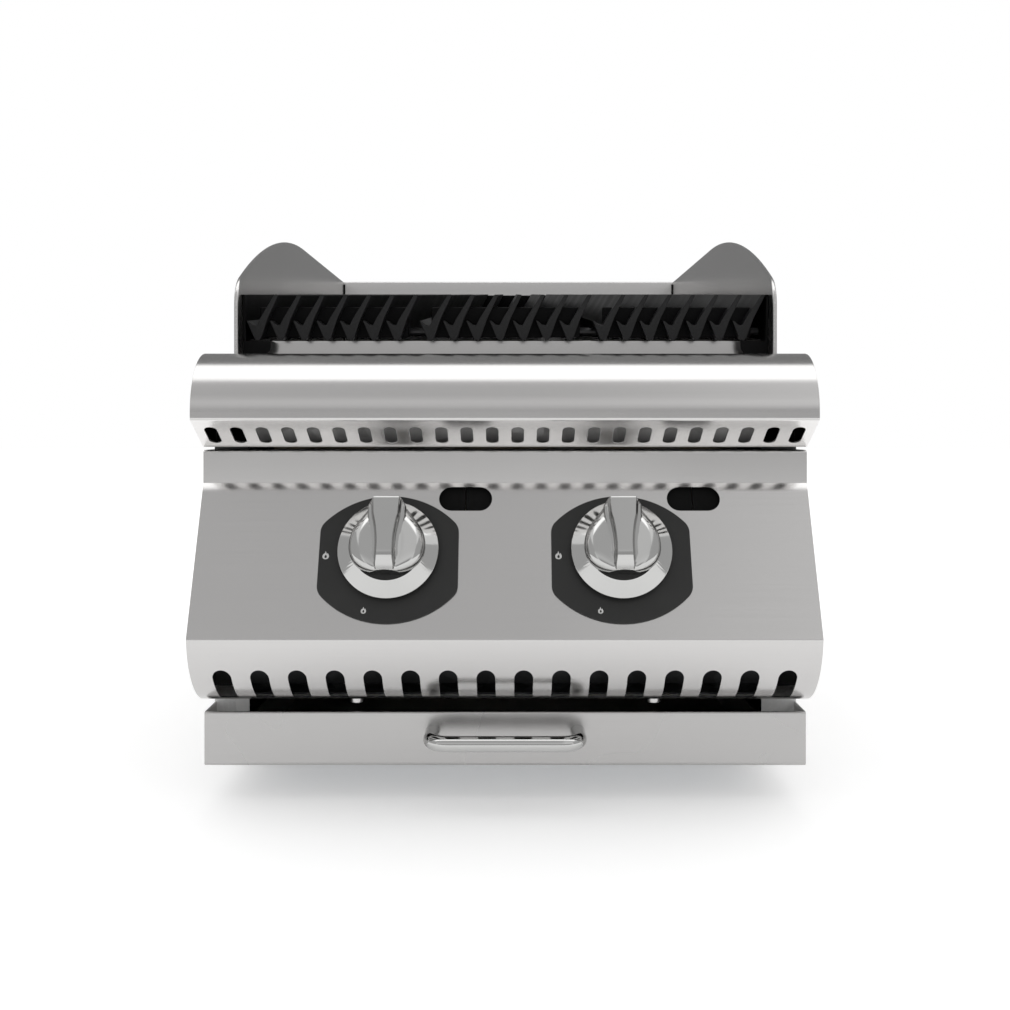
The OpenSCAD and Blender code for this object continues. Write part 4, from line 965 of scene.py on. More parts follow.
class GRILL_OT_dress_frame(bpy.types.Operator):
    """Gives every CAD node the procedural finish of its slot"""
    bl_idname = "grill.dress_frame"
    bl_label = "Finishes"

    def execute(self, context):
        FINISHES.update(make_finishes(context.scene.grill_colours, context.scene.grill_panel))
        for name, node in frame["nodes"].items():
            node.data.materials.clear()
            node.data.materials.append(FINISHES[NODE_SLOTS[name]])
        return {"FINISHED"}


class GRILL_OT_worktop(bpy.types.Operator):
    """Folds the worktop with its rolled, slotted nose and closes the nose's ends"""
    bl_idname = "grill.worktop"
    bl_label = "Worktop"

    # Millimetres
    rim_height = 7.0

    def execute(self, context):
        top = context.scene.grill_worktop
        bend = Vector((TOP_LOW.y, TOP_HIGH.z - top.nose_radius - top.nose_drop))
        edge = Vector((TOP_LOW.y + top.undercut_depth, TOP_LOW.z))
        corners = [(TOP_HIGH.y, TOP_HIGH.z), (TOP_LOW.y, TOP_HIGH.z), bend, edge]
        path = rounded_path(corners, [top.nose_radius, top.fold_radius], math.radians(2.5))
        sheet = Shape().along_x(sheet_outline(path, top.sheet), -HALF_WIDTH, HALF_WIDTH)
        worktop = sheet.piece("worktop_sheet")

        cutters = Shape()
        way = (edge - bend).normalized()
        middle = bend + (edge - bend) * top.slot_place
        count = fitting(2 * (HALF_WIDTH - top.slot_margin), top.slot_width, top.slot_pitch)
        outline = stadium(top.slot_length, top.slot_width)
        for x in slot_row(count, top.slot_pitch):
            place = Matrix(((0, 1, 0, x), (way.x, 0, -way.y, middle.x),
                            (way.y, 0, way.x, middle.y), (0, 0, 0, 1)))
            cutters.prism(outline, -2 * top.sheet, 3 * top.sheet, place)
        box_low, box_high = self.opening(top)
        cutters.block((*box_low, TOP_HIGH.z - 4 * top.sheet), (*box_high, TOP_HIGH.z + top.sheet))
        carve(worktop, cutters)
        soften(worktop, 0.28 * MM)
        stand_in(worktop, "top_plate")
        # Painted light: the underside's faces get the brighter copy of the steel
        repaint(worktop, "brightened_underside", lambda place, normal: normal.z < -0.7 and normal.y < -0.3
                and place.y < edge.y)
        self.add_opening_rim(top, box_low, box_high)
        eased_copy("nose_end_caps", "nose_end_cheeks", 0.3 * MM)
        return {"FINISHED"}

    def opening(self, top):
        """The corners of the opening over the firebox."""
        front, back = (corner.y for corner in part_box("firebox_left"))
        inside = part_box("firebox_back")[1].x
        return ((-inside + top.opening_lip, front + top.opening_lip),
                (inside - top.opening_lip, back - top.opening_lip))

    def add_opening_rim(self, top, low, high):
        """The down-turned rim of the opening, and the upstand along its front edge."""
        depth = top.sheet
        z = TOP_HIGH.z - top.sheet
        shape = Shape()
        rim = [((low[0], low[1]), (high[0], low[1] + depth)),
               ((low[0], high[1] - depth), (high[0], high[1])),
               ((low[0], low[1] + depth), (low[0] + depth, high[1] - depth)),
               ((high[0] - depth, low[1] + depth), (high[0], high[1] - depth))]
        for a, b in rim:
            shape.block((*a, z - self.rim_height * MM), (*b, z))
        reach = top.upstand_half
        shape.block((-reach, low[1] - top.sheet, TOP_HIGH.z),
                    (reach, low[1], TOP_HIGH.z + top.upstand))
        dress(soften(shape.piece("opening_rim"), 0.3 * MM), "worktop_steel")


class GRILL_OT_control_panel(bpy.types.Operator):
    """Folds the control panel from its strip down to the slotted lower nose"""
    bl_idname = "grill.control_panel"
    bl_label = "Control panel"

    # Millimetres: how far a cut reaches behind and in front of the sheet, how much wider and
    # higher than its window a liner is, its distance behind the sheet, its thickness and seam
    cut_reach = (-4.0, 2.0)
    liner_excess = (6.0, 5.0)
    liner_setback = 3.4
    liner_thickness = 1.0
    liner_seam = 0.5

    def execute(self, context):
        panel = context.scene.grill_panel
        knobs = context.scene.grill_knobs
        top, bend, crease = panel_lines(panel)
        back_y = PANEL_HIGH.y
        lip_z = PANEL_LOW.z
        lip_edge = Vector((PANEL_LOW.y + panel.nose_depth, lip_z))
        centre = self.nose_centre(crease, lip_edge, panel.nose_radius)
        first = math.atan2(crease.y - centre.y, crease.x - centre.x) % (2 * math.pi)
        last = math.atan2(lip_edge.y - centre.y, lip_edge.x - centre.x) % (2 * math.pi)
        nose = arc(centre, panel.nose_radius, first, last, math.radians(2.5))
        corners = [(back_y, top.y), top, bend] + nose + [(back_y, lip_z)]
        radii = [panel.fold_radius, 0.3 * panel.fold_radius, panel.fold_radius]
        radii += [0.0] * (len(nose) - 2) + [panel.sheet * 0.9]
        path = rounded_path(corners, radii, math.radians(6))
        sheet = Shape().along_x(sheet_outline(path, panel.sheet), -HALF_WIDTH, HALF_WIDTH)
        piece = sheet.piece("panel_sheet")

        cutters = Shape()
        count = fitting(2 * (HALF_WIDTH - panel.slot_margin), panel.slot_width, panel.slot_pitch)
        low = lip_z + 2 * panel.sheet
        high = lip_z + panel.slot_height - panel.slot_width / 2
        half = panel.slot_width / 2
        for x in slot_row(count, panel.slot_pitch):
            outline = [(x - half, low), (x + half, low)]
            outline += [tuple(p) for p in arc((x, high), half, 0.0, math.pi, math.radians(12))]
            self.cut_backwards(cutters, outline, PANEL_LOW.y, panel.nose_depth - panel.sheet)
        behind, before = (reach * MM for reach in self.cut_reach)
        window = stadium(panel.window_length, panel.window_height)
        for side in (-1, 1):
            x = side * knobs.spacing / 2
            cutters.prism(circle(panel.spindle_hole / 2), behind, before,
                          on_panel(x, knobs.drop))
            cutters.prism(window, behind, before,
                          on_panel(x + panel.window_offset, panel.window_drop))
        carve(piece, cutters)
        soften(piece, 0.26 * MM)
        stand_in(piece, "control_panel")
        # Painted light: the lip's upward faces get a pale, dull zinc
        repaint(piece, "lit_lip", lambda place, normal: normal.z > 0.9
                and place.z < lip_z + 2 * panel.sheet)
        self.add_shade_liners(panel, knobs)
        eased_copy("panel_end_caps", "panel_end_cheeks", 0.3 * MM)
        return {"FINISHED"}

    def nose_centre(self, crease, lip_edge, radius):
        """The centre of the lower nose, on the left of the way down."""
        way = lip_edge - crease
        half = way.length / 2
        rise = math.sqrt(radius * radius - half * half)
        return (crease + lip_edge) / 2 + turned_left(way.normalized()) * rise

    def add_shade_liners(self, panel, knobs):
        """Black liners behind the lighting windows, each with a seam down its middle, as painted
        shade for the dark openings.
        """
        shape = Shape()
        wider, higher = (excess * MM for excess in self.liner_excess)
        reach = (panel.window_length + wider) / 2
        half = (panel.window_height + higher) / 2
        seam = self.liner_seam * MM / 2
        front = -panel.sheet - self.liner_setback * MM
        for side in (-1, 1):
            place = on_panel(side * knobs.spacing / 2 + panel.window_offset, panel.window_drop)
            for left, right in ((-reach, -seam), (seam, reach)):
                shape.prism(rectangle((left, -half), (right, half)),
                            front - self.liner_thickness * MM, front, place)
        liners = soften(shape.piece("window_shade_liners"), 0.2 * MM)
        dress(liners, "bezel_plastic", finish="shade_liner")

    def cut_backwards(self, cutters, outline, front_y, depth):
        """A cut that runs level from in front of the panel towards the back."""
        cutters.loft([[(x, y, z) for x, z in outline]
                      for y in (front_y + depth, front_y - 2 * MM)])


class GRILL_OT_bezels(bpy.types.Operator):
    """Makes the black bezels behind the knobs, with their printed flame marks"""
    bl_idname = "grill.bezels"
    bl_label = "Bezels"

    flame = [(0.0, -0.5), (0.27, -0.42), (0.40, -0.16), (0.33, 0.10), (0.21, 0.26),
             (0.16, 0.10), (0.06, 0.30), (-0.03, 0.50), (-0.10, 0.26), (-0.30, 0.10),
             (-0.38, -0.16), (-0.27, -0.42)]
    flame_heart = [(0.0, -0.36), (0.12, -0.30), (0.15, -0.14), (0.02, 0.06), (-0.13, -0.14),
                   (-0.11, -0.30)]
    # Millimetres right of a knob's axis and below the fold, and the mark's size. The hole of
    # the off mark is a share of it.
    large_flame = (-40.5, 50.1, 5.4)
    small_flame = (-14.4, 86.2, 4.3)
    off_mark = (0.0, 15.2, 2.1)
    off_mark_hole = 0.62
    film = 0.12
    frame_steps = 72

    def execute(self, context):
        knobs = context.scene.grill_knobs
        panel = context.scene.grill_panel
        rise = knobs.bezel_drop - knobs.drop
        hole = circle(panel.spindle_hole / 2, 40, (0.0, rise))
        for side, name in SIDES:
            x = side * knobs.spacing / 2
            place = on_panel(x, knobs.bezel_drop)
            bezel = plate("bezel_plate_" + name, [self.outline(knobs), hole],
                          knobs.bezel_thickness, 0.35 * MM, place)
            stand_in(bezel, "bezel_" + name)
            marks = self.marks("bezel_marks_" + name, x, knobs.bezel_thickness)
            dress(marks, "screw_steel", finish="ink")
        return {"FINISHED"}

    def outline(self, knobs):
        """A disc with two flats, whose four corners are rounded."""
        corner = knobs.bezel_corner
        top_centre = knobs.bezel_height / 2 - knobs.bezel_arc
        corner_x = knobs.bezel_width / 2 - corner
        reach = knobs.bezel_arc - corner
        corner_y = top_centre + math.sqrt(reach * reach - corner_x * corner_x)
        turn = math.atan2(corner_y - top_centre, corner_x)
        half = math.pi
        top = (arc((corner_x, corner_y), corner, 0.0, turn)
               + arc((0.0, top_centre), knobs.bezel_arc, turn, half - turn, math.radians(2.5))[1:]
               + arc((-corner_x, corner_y), corner, half - turn, half)[1:])
        return [tuple(p) for p in top] + [(-p[0], -p[1]) for p in top]

    def marks(self, name, x, thickness):
        """A large and a small flame, and a ring for the off position."""
        shape = Shape()
        for left, drop, size in (self.large_flame, self.small_flame):
            loops = [smooth_loop(in_metres(outline, size * MM))
                     for outline in (self.flame, self.flame_heart)]
            self.frame_between(shape, *loops, thickness, on_panel(x + left * MM, drop * MM))
        left, drop, size = self.off_mark
        loops = [circle(size * MM), circle(size * self.off_mark_hole * MM)]
        self.frame_between(shape, *loops, thickness, on_panel(x + left * MM, drop * MM))
        return shape.piece(name)

    def frame_between(self, shape, outer, inner, base, place):
        """A flat frame between two outlines."""
        outer, inner = resampled(outer, self.frame_steps), resampled(inner, self.frame_steps)
        top = base + self.film * MM
        shape.loft([[(px, py, z) for px, py in loop] for loop, z in (
            (outer, base), (outer, top), (inner, top), (inner, base))], place, closed=True)


def resampled(loop, count):
    """The same closed outline with another number of points, spread evenly over the old ones."""
    loop = [Vector(p) for p in loop]
    total = len(loop)
    result = []
    for i in range(count):
        t = i * total / count
        a, b = loop[int(t) % total], loop[(int(t) + 1) % total]
        result.append(a.lerp(b, t - int(t)))
    return result


class GRILL_OT_knobs(bpy.types.Operator):
    """Makes the two chromed knobs with their skirts, dark cores, domes and hollow-sided grips"""
    bl_idname = "grill.knobs"
    bl_label = "Knobs"

    # Millimetres, with heights from the skirt's foot, and tops and lows along the slope from
    # the knob's axis. Power, crowding and fullness are exponents.
    skirt_edge = 1.6
    skirt_top = 8.0
    core_radius = 22.4
    core_top = 7.6
    dome_low = 18.8
    dome_flat = 19.8
    dome_high = 27.2
    dome_flank = math.radians(38.2)
    dome_power = 2.2
    dome_rings = 44
    dome_crowding = 1.25
    dome_fullness = 0.8
    grip_top = 27.6
    grip_low = 18.9
    grip_waist = 9.2
    grip_waist_drop = 4.5
    grip_step = 2.0
    grip_top_width = 16.2
    grip_end_width = 10.4
    grip_knee = -7.2
    tuck_start = 14.0
    tuck_drop = 8.0
    tuck_slope = 0.4
    tuck_most = 3.0
    grip_flare = [(-0.1, 0.0), (0.35, 0.4), (0.6, 2.0), (0.95, 3.4), (1.5, 4.6), (2.3, 5.5),
                  (3.2, 6.2), (4.2, 6.8)]
    spindle_hole = 8.1
    cap_thickness = 4.0
    steps = 96

    def execute(self, context):
        knobs = context.scene.grill_knobs
        bore = self.spindle_hole / 2 * MM
        for side, name in SIDES:
            place = on_panel(side * knobs.spacing / 2, knobs.drop)
            knob = self.skirt(knobs).piece("knob_body_" + name)
            dome = soften(self.dome(knobs).piece("dome"), limit=math.radians(40))
            grip = soften(self.grip(knobs).piece("grip"))
            carve(knob, dome, "UNION")
            carve(knob, grip, "UNION")
            carve(knob, Shape().turned(
                [(bore, 0.0), (bore, knobs.height - self.cap_thickness * MM)]))
            knob.data.transform(place)
            soften(knob)
            stand_in(knob, "knob_" + name)
            core = self.core(knobs).piece("knob_core_" + name)
            core.data.transform(place)
            soften(core)
            dress(core, "bezel_plastic", "knob_" + name)
        return {"FINISHED"}

    def skirt(self, knobs):
        """The round skirt: a thin rim and one long cone up to the core."""
        outer, low = knobs.diameter / 2 / MM, knobs.clearance / MM
        rim, top = low + self.skirt_edge, low + self.skirt_top
        inner = self.core_radius + 0.1
        edge, hub = 0.35, 4.2
        profile = [
            (hub, low + 3), (21.5, low + 3), (21.9, low + 0.4), (22.3, low), (outer - edge, low),
            (outer - 0.3 * edge, low + 0.3 * edge), (outer, low + edge), (outer, rim - edge),
            (outer - 0.3 * edge, rim - 0.3 * edge), (outer - edge, rim + 0.15),
            (inner + 0.5, top - 0.15), (inner + 0.15, top), (inner, top - 0.2),
            (inner, top - 1.8), (hub, top - 1.8)]
        return Shape().turned(in_metres(profile), steps=self.steps)

    def core(self, knobs):
        """The dark disc that shows between the dome and the skirt."""
        low = knobs.clearance / MM + self.skirt_top - 1.75
        top = knobs.clearance / MM + self.core_top
        radius, hub, edge = self.core_radius, 4.4, 0.2
        profile = [(hub, low), (radius, low), (radius, top - edge), (radius - edge, top),
                   (hub, top)]
        return Shape().turned(in_metres(profile), steps=self.steps)

    def dome_half_width(self, radius, y):
        """Half the dome's width: a round, drawn out to the grip's end and flattened below."""
        if y < 0:
            share = -y / (self.dome_flat * MM)
            return radius * (1 - share ** self.dome_power) ** (1 / self.dome_power)
        if y < radius * math.sin(self.dome_flank):
            return math.sqrt(radius * radius - y * y)
        return (radius - y * math.sin(self.dome_flank)) / math.cos(self.dome_flank)

    def dome(self, knobs):
        """The drop-shaped dome under the grip, straight up the slope and rounded across."""
        radius = knobs.dome_diameter / 2
        base = knobs.clearance + (self.skirt_top - 1.0) * MM
        rise = knobs.dome_rise + 1.0 * MM
        turns = [math.radians(turn) for turn in range(0, 181, 5)]
        rings = []
        for k in range(self.dome_rings + 1):
            share = (k / self.dome_rings) ** self.dome_crowding
            y = (-self.dome_low + (self.dome_low + self.dome_high) * share) * MM
            half = self.dome_half_width(radius, y)
            rings.append([(half * math.cos(turn), y,
                           base + rise * math.sin(turn) ** self.dome_fullness)
                          for turn in turns])
        return Shape().loft(rings)

    def grip_half_width(self, y):
        """Half the grip's width at a height up the slope, both in millimetres."""
        share = (y + self.grip_low) / (self.grip_top + self.grip_low)
        straight = (self.grip_end_width + (self.grip_top_width - self.grip_end_width) * share) / 2
        half_length = (self.grip_top + self.grip_low) / 2
        depth = (self.grip_top_width - self.grip_waist) / 2
        bow = (half_length * half_length + depth * depth) / (2 * depth)
        reach = y + self.grip_waist_drop
        hollow = self.grip_waist / 2 + bow - math.sqrt(bow * bow - reach * reach)
        return min(straight, hollow)

    def grip(self, knobs):
        """The grip: flat on top down to a knee, then a facet down to its undercut end."""
        crown = knobs.height / MM
        radius = knobs.dome_diameter / 2
        floor = knobs.clearance / MM + self.skirt_top - 0.6
        slopes = [(self.grip_top, crown - 0.5), (self.grip_top - 0.2, crown - 0.28),
                  (self.grip_top - 1.0, crown), (self.grip_knee, crown),
                  (self.grip_knee - 1.3, crown - 0.12), (self.grip_knee - 2.6, crown - 0.46),
                  (self.grip_knee - 3.9, crown - 0.95), (-16.4, crown - 3.3),
                  (-17.3, crown - 4.5), (-18.2, crown - 6.6), (-self.grip_low, crown - 10.0)]
        count = int((self.grip_top + self.grip_low) / self.grip_step) + 1
        stations = sorted({round(self.grip_top - self.grip_step * i, 3) for i in range(count)}
                          | {y for y, z in slopes}, reverse=True)
        rings = []
        for y in stations:
            height = self.height_at(slopes, y)
            half = self.grip_half_width(y)
            widest = max(half, 0.96 * self.dome_half_width(radius, y * MM) / MM)
            side = [(min(half + out, widest), height - down) for out, down in self.grip_flare]
            side.append((side[-1][0], floor))
            outline = [(-px, pz) for px, pz in side[::-1]] + side
            rings.append(in_metres([(px, self.tucked(y, pz, crown), pz) for px, pz in outline]))
        return Shape().loft(rings)

    def tucked(self, y, z, crown):
        """Draws the grip's low end in under its top."""
        share = max(0.0, (-y - self.tuck_start) / (self.grip_low - self.tuck_start))
        below = max(0.0, crown - self.tuck_drop - z)
        return y + share * min(self.tuck_most, self.tuck_slope * below)

    def height_at(self, slopes, y):
        """The height of the grip's top, between the two corners next to a station."""
        for (y1, z1), (y0, z0) in zip(slopes, slopes[1:]):
            if y0 <= y <= y1:
                return z0 + (z1 - z0) * (y - y0) / (y1 - y0)
        raise ValueError("the grip has no height at %s" % y)


class GRILL_OT_casing(bpy.types.Operator):
    """Dresses the casing: side and rear sheets, pan, cross bars and feet"""
    bl_idname = "grill.casing"
    bl_label = "Casing"

    vent_rows = 2
    vents_in_row = 14
    # Millimetres
    vent_width = 6.0
    vent_length = 34.0
    vent_pitch = 23.2
    vent_row_pitch = 52.0
    vent_top_setback = 62.0
    inlet_hole = 22.4
    screw_hole = 4.4
    screw_head = 7.6
    foot_radius = 18.0
    # CAD nodes whose finish isn't that of their slot: darker copies that paint shade
    painted_shade_finishes = {"lower_crossbar": "shaded_crossbar", "front_crossbar": "shaded_rail"}

    def execute(self, context):
        for node in ("side_panel_left", "side_panel_right", "base_pan", "front_crossbar",
                     "lower_crossbar", "drawer_runners"):
            piece = eased_copy(node, node + "_sheet", 0.3 * MM, finish=self.painted_shade_finishes.get(node))
            if node.startswith("side_panel"):
                # Painted light and shade: the front faces at the case front get pale zinc below and
                # near black above
                repaint(piece, "flange", lambda place, normal: normal.y < -0.9
                        and place.y < CASE_FRONT + MM)
        self.add_rear()
        self.add_feet()
        return {"FINISHED"}

    def add_rear(self):
        """The rear sheet with two rows of upright vents, seen from the back."""
        low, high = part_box("rear_panel")
        inlet_low, inlet_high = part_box("gas_inlet")
        screws_low, screws_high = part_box("rear_screws")
        outlines = [rectangle((low.x, low.z), (high.x, high.z))]
        vent = stadium(self.vent_length * MM, self.vent_width * MM)
        for row in range(self.vent_rows):
            z = TOP_HIGH.z - (self.vent_top_setback + row * self.vent_row_pitch) * MM
            for x in slot_row(self.vents_in_row, self.vent_pitch * MM):
                outlines.append([(x + py, z + px) for px, py in vent])
        inlet = (inlet_low + inlet_high) / 2
        outlines.append(circle(self.inlet_hole / 2 * MM, middle=(inlet.x, inlet.z)))
        head = self.screw_head / 2 * MM
        for x in (screws_low.x + head, screws_high.x - head):
            for z in (screws_low.z + head, screws_high.z - head):
                outlines.append(circle(self.screw_hole / 2 * MM, 20, (x, z)))
        place = Matrix(((1, 0, 0, 0), (0, 0, -1, high.y), (0, 1, 0, 0), (0, 0, 0, 1)))
        rear = plate("rear_sheet", outlines, high.y - low.y, 0.25 * MM, place)
        stand_in(rear, "rear_panel")

    def add_feet(self):
        """Rubber feet with a chamfer, a grip groove and a bolt recess."""
        low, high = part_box("feet")
        wide, tall = self.foot_radius, (high.z - low.z) / MM
        radius = wide * MM
        recess = 4.3
        profile = [(recess, 3.2), (recess, 0.5), (6.0, 0.0), (10.5, 0.0), (10.9, 0.8),
                   (11.6, 0.8), (12.0, 0.0), (0.86 * wide - 2, 0.0), (0.86 * wide - 0.6, 0.6),
                   (0.86 * wide, 2.0), (0.955 * wide, tall - 7.0), (0.925 * wide, tall - 6.4),
                   (0.935 * wide, tall - 5.2), (0.985 * wide, tall - 4.6), (wide, tall - 0.6),
                   (wide - 0.6, tall), (recess, tall)]
        shape = Shape()
        for x in (low.x + radius, high.x - radius):
            for y in (low.y + radius, high.y - radius):
                shape.turned(in_metres(profile), Matrix.Translation((x, y, low.z)), 48)
        stand_in(soften(shape.piece("foot_cups")), "feet")


class GRILL_OT_guard(bpy.types.Operator):
    """Makes the splash guard's sides and back with hems folded round their edges"""
    bl_idname = "grill.guard"
    bl_label = "Splash guard"

    # Millimetres
    shade_strip_width = 1.5
    shade_strip_depth = 1.0
    shade_strip_setback = 3.0
    mitre = 9.0

    def execute(self, context):
        guard = context.scene.grill_guard
        for side, name in SIDES:
            stand_in(self.side_sheet(guard, side, name), "guard_" + name)
        self.add_corner_shade_strips()
        stand_in(self.back_sheet(guard), "guard_back")
        return {"FINISHED"}

    def hem_section(self, guard):
        """Distance in from the edge and distance outwards from the inner face."""
        t, width = guard.sheet, guard.hem_width
        steps = 8
        nose = [(t - t * math.sin(a), t - t * math.cos(a))
                for a in (math.pi * k / steps for k in range(steps + 1))]
        return [(width, 0.0)] + nose + [(width - 0.3 * MM, 2 * t), (width, 2 * t - 0.3 * MM),
                                        (width, t)]

    def side_sheet(self, guard, side, name):
        """A side wall whose hem runs up the front, round the corner and along the top."""
        low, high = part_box("guard_" + name)
        front, back, foot, top = low.y, high.y, low.z, high.z
        flat_y = front + guard.curve_length
        big = Vector((flat_y, top - guard.curve_radius))
        corner_y = front + guard.corner_radius
        reach = guard.curve_radius - guard.corner_radius
        corner = Vector((corner_y, big.y + math.sqrt(reach ** 2 - (flat_y - corner_y) ** 2)))
        turn = math.atan2(corner.y - big.y, corner.x - big.x)
        edge = [(Vector((front, foot)), Vector((1.0, 0.0)))]
        for point in arc(corner, guard.corner_radius, math.pi, turn, math.radians(5)):
            edge.append((point, (corner - point).normalized()))
        for point in arc(big, guard.curve_radius, turn, math.pi / 2, math.radians(1))[1:]:
            edge.append((point, (big - point).normalized()))
        edge.append((Vector((back, top)), Vector((0.0, -1.0))))
        inner_x = (low.x if side > 0 else high.x)
        section = self.hem_section(guard)
        shape = Shape()
        count = len(section)
        for point, inwards in edge:
            for depth, out in section:
                spot = point + inwards * depth
                shape.points.append(Vector((inner_x + side * out, spot.x, spot.y)))
        for i in range(len(edge) - 1):
            for k in range(count - 1):
                a, b = i * count + k, (i + 1) * count + k
                shape.faces.append((a, a + 1, b + 1, b))
        corner_inner, corner_outer = len(shape.points), len(shape.points) + 1
        shape.points += [Vector((inner_x, back, foot)),
                         Vector((inner_x + side * guard.sheet, back, foot))]
        inner_loop = [i * count for i in range(len(edge))] + [corner_inner]
        outer_loop = [i * count + count - 1 for i in range(len(edge))] + [corner_outer]
        shape.faces += [tuple(inner_loop), tuple(outer_loop[::-1])]
        shape.faces.append(tuple(range(count)) + (corner_outer, corner_inner))
        last = (len(edge) - 1) * count
        shape.faces.append(tuple(range(last, last + count))[::-1] + (corner_inner, corner_outer))
        return soften(shape.piece("guard_side_" + name))

    def add_corner_shade_strips(self):
        """Dark strips in the upright corners behind the side sheets, as painted shade along the
        corners' gap.
        """
        low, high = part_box("guard_back")
        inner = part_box("guard_left")[1].x
        shape = Shape()
        for side in (-1, 1):
            near, far = sorted((side * inner, side * (inner + self.shade_strip_width * MM)))
            shape.block((near, low.y - self.shade_strip_depth * MM, low.z),
                        (far, low.y, high.z - self.shade_strip_setback * MM))
        dress(soften(shape.piece("corner_shade_strips"), 0.2 * MM), "bezel_plastic", finish="shade_liner")

    def back_sheet(self, guard):
        """The back wall with a hem folded to the rear along its top, mitred at its ends."""
        low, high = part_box("guard_back")
        inner_y = low.y
        section = [(inner_y + out, high.z - depth) for depth, out in self.hem_section(guard)]
        section += [(inner_y + guard.sheet, low.z), (inner_y, low.z)]
        shape = Shape().along_x(section, low.x, high.x)
        piece = shape.piece("guard_back_sheet")
        cutters = Shape()
        for side in (-1, 1):
            x = side * high.x
            notch = [(x - side * self.mitre * MM, high.z + MM),
                     (x + side * MM, high.z - self.mitre * MM), (x + side * MM, high.z + MM)]
            cutters.loft([[(px, py, pz) for px, pz in notch]
                          for py in (high.y + 0.02 * MM, high.y + 4 * MM)])
        carve(piece, cutters)
        return soften(piece, 0.25 * MM)


class GRILL_OT_grates(bpy.types.Operator):
    """Casts the three grates with their check-mark bars, and the rails beside them"""
    bl_idname = "grill.grates"
    bl_label = "Grates"

    arm_reach = 12 / 13
    short_arm = 0.5
    # Shares of the long arm's reach and of its height
    bar_section = [
        (-0.09, 0.01), (0.0, 0.0), (0.09, 0.01), (0.18, 0.08), (0.48, 0.48), (1.0, 0.985),
        (0.97, 1.0), (0.82, 1.0), (0.125, 0.48), (-0.033, 0.335), (-0.1, 0.33),
        (-0.23, 0.347), (-0.41, 0.42), (-0.5, 0.43), (-0.17, 0.06)]
    web_low, web_top = 0.05, (0.72, 0.965)
    notch_gap = 0.6

    def execute(self, context):
        grates = context.scene.grill_grates
        slope = on_slope()
        low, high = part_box("grate_left")
        right_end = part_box("grate_right")[1].x
        pitch = (right_end - low.x + grates.module_gap) / 3
        bar_pitch = (pitch - grates.module_gap) / (
            grates.bars - 1 + (1 + self.short_arm) * self.arm_reach)
        arm = self.arm_reach * bar_pitch
        run = self.run_length(grates, low, high)
        bar = self.bar(grates, arm, run)
        for position, name in enumerate(("left", "middle", "right")):
            first = low.x + self.short_arm * arm + position * pitch
            piece = self.module("grate_bars_" + name, grates, bar, first, bar_pitch, arm, run,
                                slope)
            stand_in(piece, "grate_" + name)
        bpy.data.objects.remove(bar)
        for name in ("left", "right"):
            # Painted shade: the rail castings get near-black iron
            eased_copy("grate_rail_" + name, "rail_casting_" + name, 0.6 * MM, 3, "soot")
        return {"FINISHED"}

    def run_length(self, grates, low, high):
        """Length of the bars along the slope, from the grate's box."""
        depth = high.y - low.y - grates.arm_height * math.sin(grates.slope)
        return depth / math.cos(grates.slope)

    def bar(self, grates, arm, run):
        """One bar in the sloped place, with its notches over the rods."""
        tall = grates.arm_height
        piece = Shape().loft([[(px * arm, y, pz * tall) for px, pz in self.bar_section]
                              for y in (0.0, run)]).piece("bar")
        cutters = Shape()
        radius = (grates.rod_diameter + self.notch_gap * MM) / 2
        upright = Matrix.Rotation(-grates.slope, 4, "X")
        arch = arc((0.0, 0.0), radius, 0.0, math.pi, math.radians(15))
        notch = [(radius, -tall), *arch, (-radius, -tall)]
        for y in (grates.rod_setback, run - grates.rod_setback):
            cutters.loft([[(x, py, pz) for py, pz in notch] for x in (-arm, 2 * arm)],
                         Matrix.Translation((0.0, y, ROD_RISE * tall)) @ upright)
        carve(piece, cutters)
        return soften(piece, grates.casting_edge, 3, math.radians(28))

    def module(self, name, grates, bar, first, bar_pitch, arm, run, slope):
        """The bars of one casting as one piece, and its two webs as another."""
        work = bmesh.new()
        for i in range(grates.bars):
            mesh = bar.data.copy()
            mesh.transform(slope @ Matrix.Translation((first + i * bar_pitch, 0, 0)))
            work.from_mesh(mesh)
            bpy.data.meshes.remove(mesh)
        last = first + (grates.bars - 1) * bar_pitch + self.short_arm * arm
        webs = Shape()
        setbacks = (grates.web_setback, run - grates.web_setback - grates.web_thickness)
        for y, web_top in zip(setbacks, self.web_top):
            webs.block((first, y, self.web_low * grates.arm_height),
                       (last, y + grates.web_thickness, web_top * grates.arm_height))
        web = soften(webs.piece(name.replace("bars", "webs")), grates.casting_edge)
        web.data.transform(slope)
        # Painted shade: the webs get near-black iron
        dress(web, "cast_iron", body_of_node(name.replace("bars_", "")), finish="soot")
        return shaded(meshed(work, name))


